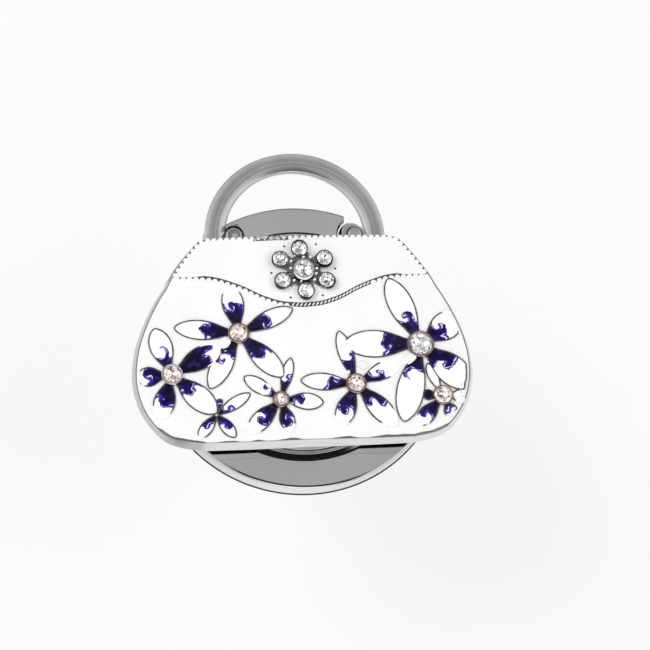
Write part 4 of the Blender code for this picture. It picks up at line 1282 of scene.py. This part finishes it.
for number, (centre, bezel, petals) in enumerate(flowers, 1):
    centre = (centre[0] * mm, centre[1] * mm)
    hub = max(bezel, 0.25) * mm
    level = (-0.04 if number == 7 else 0.0) * mm
    parts = []
    for index, (degrees, length, width, left, right, curl, fade) in enumerate(petals):
        lift = level + (0.02 * index + 0.012 * (number % 3)) * mm
        parts.append(petal(centre, hub, lift, degrees, length * mm, width * mm,
                           left, right, curl, fade))
    flower = smooth(put_together(f"enamel_flower_{number}", parts), 55)
    dressed(flower, "base", f"flower_{number}")

# %% [markdown]
# In some places white enamel ran over the petals and set as drops. Each drop is a bead,
# flattened and stretched, that covers a bit of the indigo: its place, its radius, how far
# it is stretched and which way. Metaballs would melt together, but these drops are apart.

# %% Drops of white enamel
drops = (
    (-11.7, -1.2, 0.95, 1.35, 25), (15.7, -3.9, 0.90, 1.5, 35), (8.6, -4.9, 0.75, 1.2, -20),
    (-7.85, -7.7, 0.50, 1.3, 40), (-6.35, -9.0, 0.48, 1.2, 0), (-5.6, -8.0, 0.50, 1.3, -35),
    (23.0, -10.1, 0.70, 1.2, 20), (21.95, 3.5, 0.75, 1.0, 0), (6.3, -6.0, 0.40, 1.1, 0),
    (-2.2, -10.6, 0.42, 1.2, 10),
)
for number, (x, y, radius, stretch, degrees) in enumerate(drops, 1):
    drop = bead(f"white_drop_{number}", radius * mm, 0.34, stretch, math.radians(degrees))
    for vertex in drop.data.vertices:
        vertex.co += Vector((x * mm, y * mm, crown_at(x * mm, y * mm) + 0.02 * mm))
    dressed(drop, "base", finish=white_enamel_and_highlight)

# %% [markdown]
# A cut stone is a set of rings of points, table, crown, girdle and pavilion, each ring a
# little smaller and turned against the next. Convex Hull lays the facets between them, so
# no face has to be drawn. A cone would be quicker, but has no table and no crown facets.

# %% A cut stone
def cut_stone(name, centre, radius, girdle, height, depth, foil, turn=0.0):
    rings = ((8, 0.36, height, 0.0), (8, 0.62, height * 0.80, 22.5), (8, 0.84, height * 0.50, 0.0),
             (16, 0.99, 0.06 * mm, 0.0), (16, 1.0, 0.0, 0.0), (8, 0.72, -depth * 0.35, 11.25),
             (8, 0.40, -depth * 0.72, 30.0), (5, 0.10, -depth * 0.95, 20.0))
    parts = []
    for count, share, rise, twist in rings:
        nothing_selected()
        bpy.ops.mesh.primitive_circle_add(vertices=count, radius=radius * share,
                                          location=(*centre, girdle + rise),
                                          rotation=(0, 0, math.radians(twist + turn)))
        parts.append(bpy.context.object)
        bpy.ops.object.transform_apply(location=True, rotation=True, scale=True)
    stone = put_together(name, parts)
    bpy.ops.object.mode_set(mode="EDIT")
    bpy.ops.mesh.select_mode(type="VERT")
    bpy.ops.mesh.select_all(action="SELECT")
    bpy.ops.mesh.convex_hull()
    bpy.ops.object.mode_set(mode="OBJECT")
    face_outwards(stone)
    stone.data.materials.append(clear_glass)
    stone.data.materials.append(foil)
    for face in stone.data.polygons:
        face.material_index = 1 if face.normal.z < -0.05 else 0
    return stone


# %% [markdown]
# Each stone sits in a bezel, a thin ring of metal that is turned like the base, but from a
# section a millimetre high. Two of the rings stand a little beside their flower's middle,
# the way hand-set stones do. The second one is bright silver, the others rose.

# %% Six bezels with their stones
setting_places = {2: (-19.6, -5.9), 6: (20.4, -9.5)}
for number, (centre, bezel, _) in enumerate(flowers[:6], 1):
    centre = tuple(value * mm for value in setting_places.get(number, centre))
    level = crown_at(*centre)
    outer = bezel * mm
    inner = outer - (0.20 if number == 6 else 0.30) * mm
    section = (
        (inner, level - 0.45 * mm), (outer, level - 0.45 * mm), (outer, level + 0.30 * mm),
        (outer - 0.04 * mm, level + 0.42 * mm), (outer - 0.12 * mm, level + 0.49 * mm),
        (inner - 0.02 * mm, level + 0.50 * mm), (inner - 0.08 * mm, level + 0.44 * mm),
        (inner - 0.06 * mm, level + 0.25 * mm),
    )
    ring = turn_on_lathe(f"setting_{number}", section + (section[0],), 40, centre)
    finish = cup_silver if number == 2 else rose_metal
    dressed(smooth(ring), "base", f"bezel_{number}", finish=finish)
    foil = silver_foil if number == 5 else pink_foil
    stone = cut_stone(f"cut_stone_{number}", centre, inner - 0.02 * mm, level + 0.30 * mm,
                      0.50 * mm, 0.32 * mm, foil, 7.0 * number)
    dressed(stone, "base", f"stone_{number}")

# %% [markdown]
# The brooch on the flap is one casting: a flat web that carries seven cups. The web is an
# outline with a broad arm under each of the six outer cups, pulled up to a slab and
# rounded, with a post in the middle. Six cubes joined would need mending where they meet.

# %% The brooch's casting
brooch_centre = (0.42 * mm, 10.15 * mm)
brooch_level = crown_at(*brooch_centre)
web_outline = []
for degrees in (99, 155, 212, 276, 330, 390):
    for radius, aside in ((2.5, -24), (3.2, -21), (3.9, -15), (3.9, 15), (3.2, 21), (2.5, 24)):
        web_outline.append(place(radius * mm, degrees + aside, brooch_centre))
webs = slab("webs", web_outline, brooch_level - 0.02 * mm, brooch_level + 0.42 * mm)
soften_edges(webs, 0.08 * mm, 2, 40)
post = peg("post", 0.8 * mm, 0.7 * mm, (*brooch_centre, brooch_level), sides=24)
setting = put_together("brooch_casting", [webs, post])
dressed(smooth(setting, 40), "base", "brooch_setting", finish=cast_silver)

# %% [markdown]
# Small prongs crowd round the middle cup, every other one white as a painted glint and the
# rest dark metal. Their gaps are what makes the stones look brighter. One prong is copied to
# places that step in and out and up and down, so the crowd looks uneven without chance.

# %% Prongs round the middle cup
prongs = []
for index in range(26):
    x, y = place((1.98 + 0.30 * (index % 3)) * mm, 14 * index + 5, brooch_centre)
    prongs.append((x, y, brooch_level + (0.46 + 0.05 * (index % 4)) * mm))
# Painted glints: these metal prongs wear the white enamel's finish.
prong_highlights = copies("brooch_prong_highlights", bead("prong", 0.19 * mm, 1.2, 1.35, 0.6), prongs[::2])
dressed(prong_highlights, "base", finish=white_enamel_and_highlight)
dark_prongs = copies("brooch_beads", bead("prong", 0.24 * mm, 1.1, 1.1, 0.6), prongs[1::2])
dressed(dark_prongs, "base", finish=cup_dark)

# %% [markdown]
# Each cup has a dark crescent beside it, its shade on the cast metal, and the middle one
# has a white crescent, a painted highlight on its lip. A real shadow would be too soft under
# this even light, so the shade is painted: a thin piece of near black metal that tapers to
# both ends. The highlight is a piece of the same shape in white.

# %% Crescents beside the cups
ring_places = [place(radius * mm, degrees, brooch_centre) for radius, degrees in (
    (3.35, 99), (3.85, 155), (3.70, 209), (3.45, 273), (3.80, 332), (3.65, 29))]
cup_shades = ((20, 160, 0.12), (170, 240, 0.05), (190, 290, 0.10), (220, 320, 0.12),
              (260, 390, 0.13), (190, 350, 0.20))


def crescent(name, centre, inner, outer, first, last, high, finish):
    """Part of a flat ring that thins towards its two ends."""
    steps = 18
    outside, inside = [], []
    for step in range(steps + 1):
        share = step / steps
        degrees = first + (last - first) * share
        fullness = math.sin(math.pi * share) ** 0.6 if 0 < share < 1 else 0.0
        outside.append(place(inner + (outer - inner) * fullness + 0.02 * mm, degrees, centre))
        inside.append(place(inner, degrees, centre))
    piece = slab(name, outside + inside[::-1], brooch_level + 0.3 * mm, brooch_level + high)
    soften_edges(piece, 0.03 * mm, 1, 40)
    dressed(smooth(piece), "base", finish=finish)


# Painted shade in near black, and a painted highlight in white on the middle cup's lip.
crescent("middle_shadow", brooch_centre, 1.60 * mm, 2.10 * mm, 205, 330, 0.74 * mm, painted_shade_metal)
crescent("middle_lip_highlight", brooch_centre, 1.40 * mm, 1.76 * mm, 185, 345, 0.84 * mm, white_enamel_and_highlight)
for index, (first, last, width) in enumerate(cup_shades, 1):
    crescent(f"cup_shadow_{index}", ring_places[index - 1], 1.20 * mm, (1.24 + width) * mm,
             first, last, 0.90 * mm, painted_shade_metal)

# %% [markdown]
# The cups are turned like the bezels, but they flare towards the top. The middle cup is
# larger and of bright silver, the six round it darker. All seven stones have silver foil.

# %% Seven cups with their stones
def brooch_cup(name, centre, radius, low, top, flare):
    section = (
        (radius - 0.30 * mm, low), (radius + 0.10 * mm, low),
        (radius + flare, top - 0.35 * mm), (radius + flare + 0.02 * mm, top - 0.08 * mm),
        (radius + flare - 0.04 * mm, top), (radius + 0.03 * mm, top + 0.01 * mm),
        (radius - 0.03 * mm, top - 0.08 * mm),
    )
    return turn_on_lathe(name, section + (section[0],), 40, centre)


cup_top = brooch_level + 0.86 * mm
for index, spot in enumerate([brooch_centre] + ring_places):
    radius, flare, finish = 1.14 * mm, 0.15 * mm, cup_dark
    if index == 0:
        radius, flare, finish = 1.30 * mm, 0.26 * mm, cup_silver
    low = brooch_level + 0.05 * mm
    cup = brooch_cup(f"brooch_cup_{index}", spot, radius, low, cup_top, flare)
    dressed(smooth(cup, 45), "base", finish=finish)
    stone = cut_stone(f"brooch_cut_stone_{index}", spot, radius, cup_top - 0.12 * mm,
                      0.40 * mm, 0.31 * mm, silver_foil, 11.0 * index)
    dressed(stone, "base", f"brooch_stone_{index}")

# %% [markdown]
# Six small pricks in the flap's enamel stand round the brooch, dimples where the glaze
# pulled in. Each is a shallow dark disc of slightly domed metal, sunk into the white. Real
# dimples would need a very fine mesh for six dots of this size.

# %% Pricks round the brooch
prick_spots = [place(4.85 * mm, 4 + 60 * index, brooch_centre) for index in range(6)]
pricks = copies("flap_pricks", bead("prick", 0.2 * mm, 0.35), on_crown(prick_spots, -0.03 * mm))
dressed(pricks, "base", finish=cast_silver)

# %% [markdown]
# The bag's handle is a bow. Its section is nearly flat outside, has a rounded ridge and
# slopes down inside, more and more steeply, and that splits its shine into bands. The
# section is drawn upright at the bow's right side, spun half round, and its two ends are
# extruded down as legs. A curve with this section as its bevel would give the same shape,
# but its ends would have to be closed by hand.

# %% The handle's bow
bow_centre = (0.08 * mm, 17.94 * mm)
bow_radius = 12.42 * mm
bow_middle = 5.6 * mm
leg_length = 1.2 * mm
bow_section = (
    (1.62, -0.50), (1.62, 0.74), (1.61, 0.88), (1.56, 0.99), (1.47, 1.07), (1.35, 1.11),
    (0.70, 1.25), (0.20, 1.33), (0.04, 1.345), (-0.10, 1.345), (-0.30, 1.315), (-0.66, 1.21),
    (-1.02, 1.08), (-1.34, 0.94), (-1.49, 0.85), (-1.57, 0.76), (-1.61, 0.64), (-1.61, 0.38),
    (-1.30, -0.50), (-1.0, -1.23), (1.0, -1.23), (1.45, -0.90),
)
bow = draw_line("polished_bow", [(bow_radius + a * mm, bow_centre[1], bow_middle + u * mm)
                                 for a, u in bow_section])
bpy.ops.mesh.select_all(action="SELECT")
bpy.ops.mesh.edge_face_add()
bpy.ops.mesh.spin(steps=72, angle=math.pi, center=(*bow_centre, 0), axis=(0, 0, -1))
bpy.ops.object.mode_set(mode="OBJECT")
pick_faces(bow, lambda centre, normal: abs(normal.y) > 0.99
           and abs(centre.y - bow_centre[1]) < 0.01 * mm)
bpy.ops.mesh.extrude_region_move(TRANSFORM_OT_translate={"value": (0, -leg_length, 0)})
bpy.ops.mesh.select_all(action="SELECT")
bpy.ops.mesh.remove_doubles(threshold=0.001 * mm)
face_outwards(bow)
print("bow ends at", round(min(vertex.co.y for vertex in bow.data.vertices) / mm, 2))

# %% [markdown]
# At its right end a flat tongue carries the rivet. The left leg drops behind the base and
# carries the hinge of the hook's arm, with a nib that stops the arm. Both tongues are an
# outline with a round eye, extruded to their thickness, so one function draws both. They
# are joined to the bow, because on the real object they are one casting.

# %% The handle's two tongues
def tongue(name, side, low, high):
    outline = [place(1.65 * mm, 40 + 280 * step / 20, (0, 0)) for step in range(21)]
    outline += [(3.4 * mm, -1.1 * mm), (3.4 * mm, 1.1 * mm)]
    outline = [(side * (lug_x + x), lug_y + y) for x, y in outline]
    piece = slab(name, outline if side > 0 else outline[::-1], low, high)
    soften_edges(piece, 0.12 * mm, 2, 40)
    return piece


right_tongue = tongue("right_tongue", 1, 4.45 * mm, 5.45 * mm)
left_tongue = tongue("left_tongue", -1, 2.5 * mm, 3.5 * mm)
cut_away(left_tongue, peg("hole", 0.8 * mm, 4 * mm, (-lug_x, lug_y, 3 * mm), sides=24))
leg = brick((-12.55 * mm, 17.9 * mm, 4.0 * mm), (2.9 * mm, 2.2 * mm, 3.0 * mm))
soften_edges(leg, 0.2 * mm, 3, 40)
nib_x, nib_y = place(bow_radius, 167, bow_centre)
nib = peg("nib", 0.55 * mm, 4.7 * mm, (nib_x, nib_y, 3.25 * mm), sides=24)
soften_edges(nib, 0.12 * mm, 2, 40)
bow = smooth(put_together("polished_bow", [bow, right_tongue, left_tongue, leg, nib]), 30)
dressed(bow, "handle", "handle_bow", finish=satin_chrome)

# %% [markdown]
# The left lug has a turned cap, a little off the hinge's middle as in the photograph. The
# right one shows a thin ring and, between it and the rivet, a dark line: that is painted
# shade, a low near black ring under the rivet's head. All three are turned from sections a
# few points long.

# %% Cap, ring and painted shade of the lugs
cap_section = ((0.0, 7.1), (1.26, 7.1), (1.26, 7.42), (1.22, 7.54), (1.12, 7.62), (0.98, 7.67),
               (0.0, 7.69))
cap = turn_on_lathe("lug_cap", in_mm(cap_section), 48, (cap_x, cap_y))
dressed(smooth(cap, 30), "handle", finish=chrome)
ring_section = ((0.0, 6.4), (1.55, 6.4), (1.60, 6.5), (1.60, 7.10), (1.56, 7.22), (1.46, 7.27),
                (0.0, 7.27))
lug_ring = turn_on_lathe("lug_ring", in_mm(ring_section), 48, (8.82 * mm, 18.26 * mm))
dressed(smooth(lug_ring, 30), "handle", finish=satin_chrome)
# Painted shade: a near black ring under the rivet's head.
rivet_shade_section = ((0, 7.1), (1.30, 7.1), (1.30, 7.30), (0, 7.30))
rivet_shade_ring = turn_on_lathe("rivet_painted_shade", in_mm(rivet_shade_section), 40, (lug_x, lug_y))
dressed(smooth(rivet_shade_ring), "handle", finish=painted_shade_metal)

# %% [markdown]
# Beside the bow's ends the photograph shows a narrow dark line on the left and a small
# bright step on the right. The dark line is painted shade, a near black strip. Behind the
# right lug a near black half-moon stands for the shade in the gap to the base, where the
# photograph is black: painted shade as well. It swings with the lug inside the round notch.
# All are thin slabs, and the step's inner side is pushed down to a slope.

# %% Painted shade strip, step and painted shade half-moon
# Painted shade: a near black strip beside the left leg.
leg_shade = slab("leg_shade_strip", [(-11.2 * mm, 17.2 * mm), (-10.92 * mm, 17.2 * mm),
                           (-10.92 * mm, 19.0 * mm), (-11.2 * mm, 19.0 * mm)],
             5.0 * mm, 5.9 * mm)
dressed(smooth(leg_shade), "handle", finish=painted_shade_metal)
step = slab("leg_step", [(10.62 * mm, 17.0 * mm), (11.4 * mm, 17.0 * mm),
                         (11.1 * mm, 19.9 * mm), (10.72 * mm, 20.5 * mm)], 4.9 * mm, 6.5 * mm)
for vertex in step.data.vertices:
    if vertex.co.z > 6 * mm and vertex.co.x < 10.9 * mm:
        vertex.co.z = 5.3 * mm
dressed(smooth(step), "handle", finish=chrome)
# Painted shade: a near black half-moon in the gap behind the right lug.
half_moon = [place(2.42 * mm, degrees, (lug_x, lug_y)) for degrees in range(108, 277, 6)]
half_moon += [place(1.2 * mm, degrees, (lug_x, lug_y)) for degrees in range(270, 89, -12)]
shade = slab("gap_painted_shade", half_moon, 6.25 * mm, 6.36 * mm)
dressed(smooth(shade), "handle", finish=painted_shade_metal)

# %% [markdown]
# The small working pieces are right as solids. A copy of each is merged, its flat faces are
# dissolved back to one, and its edges are rounded, because a real edge always catches
# light. To model them again would only risk a pin that no longer fits its hole.

# %% Small working pieces
def refined(node, name, width, segments=2):
    only(frame["nodes"][node])
    bpy.ops.object.duplicate()
    piece = bpy.context.object
    bpy.ops.object.parent_clear(type="CLEAR_KEEP_TRANSFORM")
    piece.name = name
    piece.data.name = name
    bpy.ops.object.mode_set(mode="EDIT")
    bpy.ops.mesh.select_all(action="SELECT")
    bpy.ops.mesh.remove_doubles(threshold=0.002 * mm)
    bpy.ops.mesh.dissolve_limited(angle_limit=math.radians(2))
    bpy.ops.object.mode_set(mode="OBJECT")
    soften_edges(piece, width, segments, 32)
    return smooth(piece, 40)


small_pieces = (
    ("swivel_block", "swivel_ring", "handle", 0.20, satin_chrome),
    ("handle_rivet", "lug_rivet", "handle", 0.20, satin_chrome),
    ("hinge_pin", "hinge_stud", "handle", 0.10, chrome),
    ("swivel_clip", "stem_clip", "handle", 0.05, satin_steel),
    ("swivel_washer", "waved_washer", "handle", 0.04, satin_steel),
    ("hook_arm", "folding_arm", "hook", 0.12, chrome),
    ("hinge_washer", "thin_washer", "hook", 0.05, satin_steel),
    ("rubber_pad", "table_pad", "base", 0.10, black_rubber),
    ("keeper_magnet", "round_magnet", "base", 0.10, satin_steel),
    ("plate_screw_1", "upper_screw", "base", 0.05, satin_steel),
    ("plate_screw_2", "lower_screw", "base", 0.05, satin_steel),
)
for node, name, body, width, finish in small_pieces:
    dressed(refined(node, name, width * mm), body, node, finish=finish)

# %% [markdown]
# The set is a plain pale floor. The base rests on a short stand, because the handle and the
# hook swing down below the base when they are used, as they do over a table's edge. The
# stand is narrower than the base, so the photograph's view doesn't show it.
# The floor's colour depends on who looks. The camera sees an even, almost white field. What
# the chrome mirrors of it glows less and is greyer to the left, as on the base's left side.

# %% Floor and stand
def floor_finish():
    material, tree, shader = new_finish("pale_floor")
    where = object_place(tree)
    cloud = speckle(tree, where, 60 * mm, 2.0)
    shader.inputs["Roughness"].default_value = 0.9
    shader.inputs["Specular IOR Level"].default_value = 0.1
    rays = tree.nodes.new("ShaderNodeLightPath").outputs
    mirrored = calc(tree, "MAXIMUM", rays["Is Glossy Ray"], rays["Is Transmission Ray"])
    duller = opposite(tree, step_up(tree, split(tree, where)[0], -40 * mm, 0.0))
    paper = ramp(tree, cloud, ((0.3, grey(0.86)), (0.7, grey(0.88))))
    paper = blend_colours(tree, calc(tree, "MULTIPLY", mirrored, duller), paper, grey(0.62))
    paper = blend_colours(tree, rays["Is Camera Ray"], paper, grey(0.25))
    tree.links.new(paper, shader.inputs["Base Color"])
    glow = calc(tree, "ADD", calc(tree, "MULTIPLY", rays["Is Camera Ray"], 0.73),
                calc(tree, "MULTIPLY", mirrored, 0.22))
    shader.inputs["Emission Color"].default_value = (1, 1, 1, 1)
    tree.links.new(glow, shader.inputs["Emission Strength"])
    return material


floor_level = -36 * mm
pale_floor = floor_finish()
nothing_selected()
bpy.ops.mesh.primitive_plane_add(size=6.0, location=(0, 0, floor_level))
floor = bpy.context.object
floor.name = "floor"
floor.data.materials.append(pale_floor)
stand = turn_on_lathe("stand", ((0.0, -0.05 * mm), (9.5 * mm, -0.05 * mm), (10 * mm, -0.5 * mm),
                                (10 * mm, floor_level), (0.0, floor_level)), 64)
smooth(stand)
stand.data.materials.append(pale_floor)
print("floor at", round(floor_level / mm), "mm")

# %% [markdown]
# The light is a white table under a pale roof, in a dim room. The chrome shows just that:
# walls mirror the white table, rounded edges mirror the dim room between table and roof,
# and flat faces mirror the grey roof. The room is the world's colour by direction, and
# here it is a ramp by height. Painted walls round the set would do too, but a few stops
# are easier to tune.

# %% The room by height
world = bpy.data.worlds.new("white_tent")
bpy.context.scene.world = world
world.use_nodes = True
tree = world.node_tree
background = tree.nodes["Background"]
background.inputs["Strength"].default_value = 1.0
direction = tree.nodes.new("ShaderNodeTexCoord").outputs["Generated"]
rightward, backward, upward = split(tree, direction)
roof_greys = ((0.0, 0.85), (0.49, 0.85), (0.53, 0.20), (0.60, 0.28), (0.70, 0.70),
              (0.79, 1.0), (0.88, 0.95), (0.945, 0.54), (1.0, 0.52))
roof = ramp(tree, calc(tree, "MULTIPLY_ADD", upward, 0.5, 0.5),
            [(share, grey(value)) for share, value in roof_greys])
print("greys from the table to the roof:", [value for _, value in roof_greys])

# %% [markdown]
# A flat face mirrors one small spot of the roof towards the camera, and faces that are
# tilted a little mirror what lies round that spot. In the photograph these are darker, so
# a darker ring is laid round the spot. The side behind the object is darker too. Each is a
# mask by direction, blended into the roof's grey.

# %% Darker ring and darker side behind
def towards(tree, direction, x, y, z):
    """The cosine of the angle to this direction."""
    node = tree.nodes.new("ShaderNodeVectorMath")
    node.operation = "DOT_PRODUCT"
    tree.links.new(direction, node.inputs[0])
    node.inputs[1].default_value = Vector((x, y, z)).normalized()
    return node.outputs["Value"]


def cone(tree, cosine, outer, inner):
    """1 inside the inner angle, 0 outside the outer one."""
    return step_up(tree, cosine, math.cos(math.radians(outer)), math.cos(math.radians(inner)))


mirrored_spot = towards(tree, direction, 0.125, 0.3375, 0.933)
dark_ring = calc(tree, "MULTIPLY", cone(tree, mirrored_spot, 31, 24),
                 opposite(tree, cone(tree, mirrored_spot, 12, 7)))
roof = blend_colours(tree, calc(tree, "MULTIPLY", dark_ring, 0.9), roof, grey(0.20))
behind = step_up(tree, backward, 0.50, 0.75)
roof = blend_colours(tree, calc(tree, "MULTIPLY", behind, 0.4), roof, grey(0.12))
print("nodes for the roof:", len(tree.nodes))

# %% [markdown]
# In front the room has a wide, low, dark opening. Where two mirrors meet, as between the
# plate's lower wall and the base, they show what lies in front, and so the crescent below
# the plate is black. Lower down there is a bright window, which gives thin highlights to
# the edges that lean to the front.

# %% The dark opening and the front window
aside = calc(tree, "ABSOLUTE", calc(tree, "SUBTRACT", rightward, 0.05))
opening = calc(tree, "MULTIPLY", step_up(tree, backward, -0.66, -0.54),
               opposite(tree, step_up(tree, backward, -0.32, -0.20)))
opening = calc(tree, "MULTIPLY", opening, opposite(tree, step_up(tree, aside, 0.32, 0.46)))
opening = calc(tree, "MULTIPLY", opening, step_up(tree, upward, 0.5, 0.7))
window = cone(tree, towards(tree, direction, 0.0, -0.87, 0.44), 24, 17)
room = blend_colours(tree, window, roof, grey(1.5))
room = blend_colours(tree, opening, room, grey(0.01))
tree.links.new(room, background.inputs["Color"])
print("nodes for the whole room:", len(tree.nodes))

# %% [markdown]
# Two large soft lamps bring the white enamel up to white. They are hidden from mirrors, so
# that the chrome shows the room and not two bright squares. One strong sun would be
# simpler, but would throw the hard shadows that the photograph doesn't have.

# %% Two soft lamps
def soft_lamp(name, spot, size, power):
    nothing_selected()
    bpy.ops.object.light_add(type="AREA", location=spot)
    lamp = bpy.context.object
    lamp.name = name
    lamp.data.size = size
    lamp.data.energy = power
    lamp.rotation_euler = (-Vector(spot)).to_track_quat("-Z", "Y").to_euler()
    lamp.visible_glossy = False
    return lamp


soft_lamp("left_lamp", (-0.55, 0.25, 0.75), 0.5, 3.15)
soft_lamp("right_lamp", (0.6, -0.1, 0.8), 0.5, 1.8)
view = bpy.context.scene.view_settings
view.view_transform = "Standard"
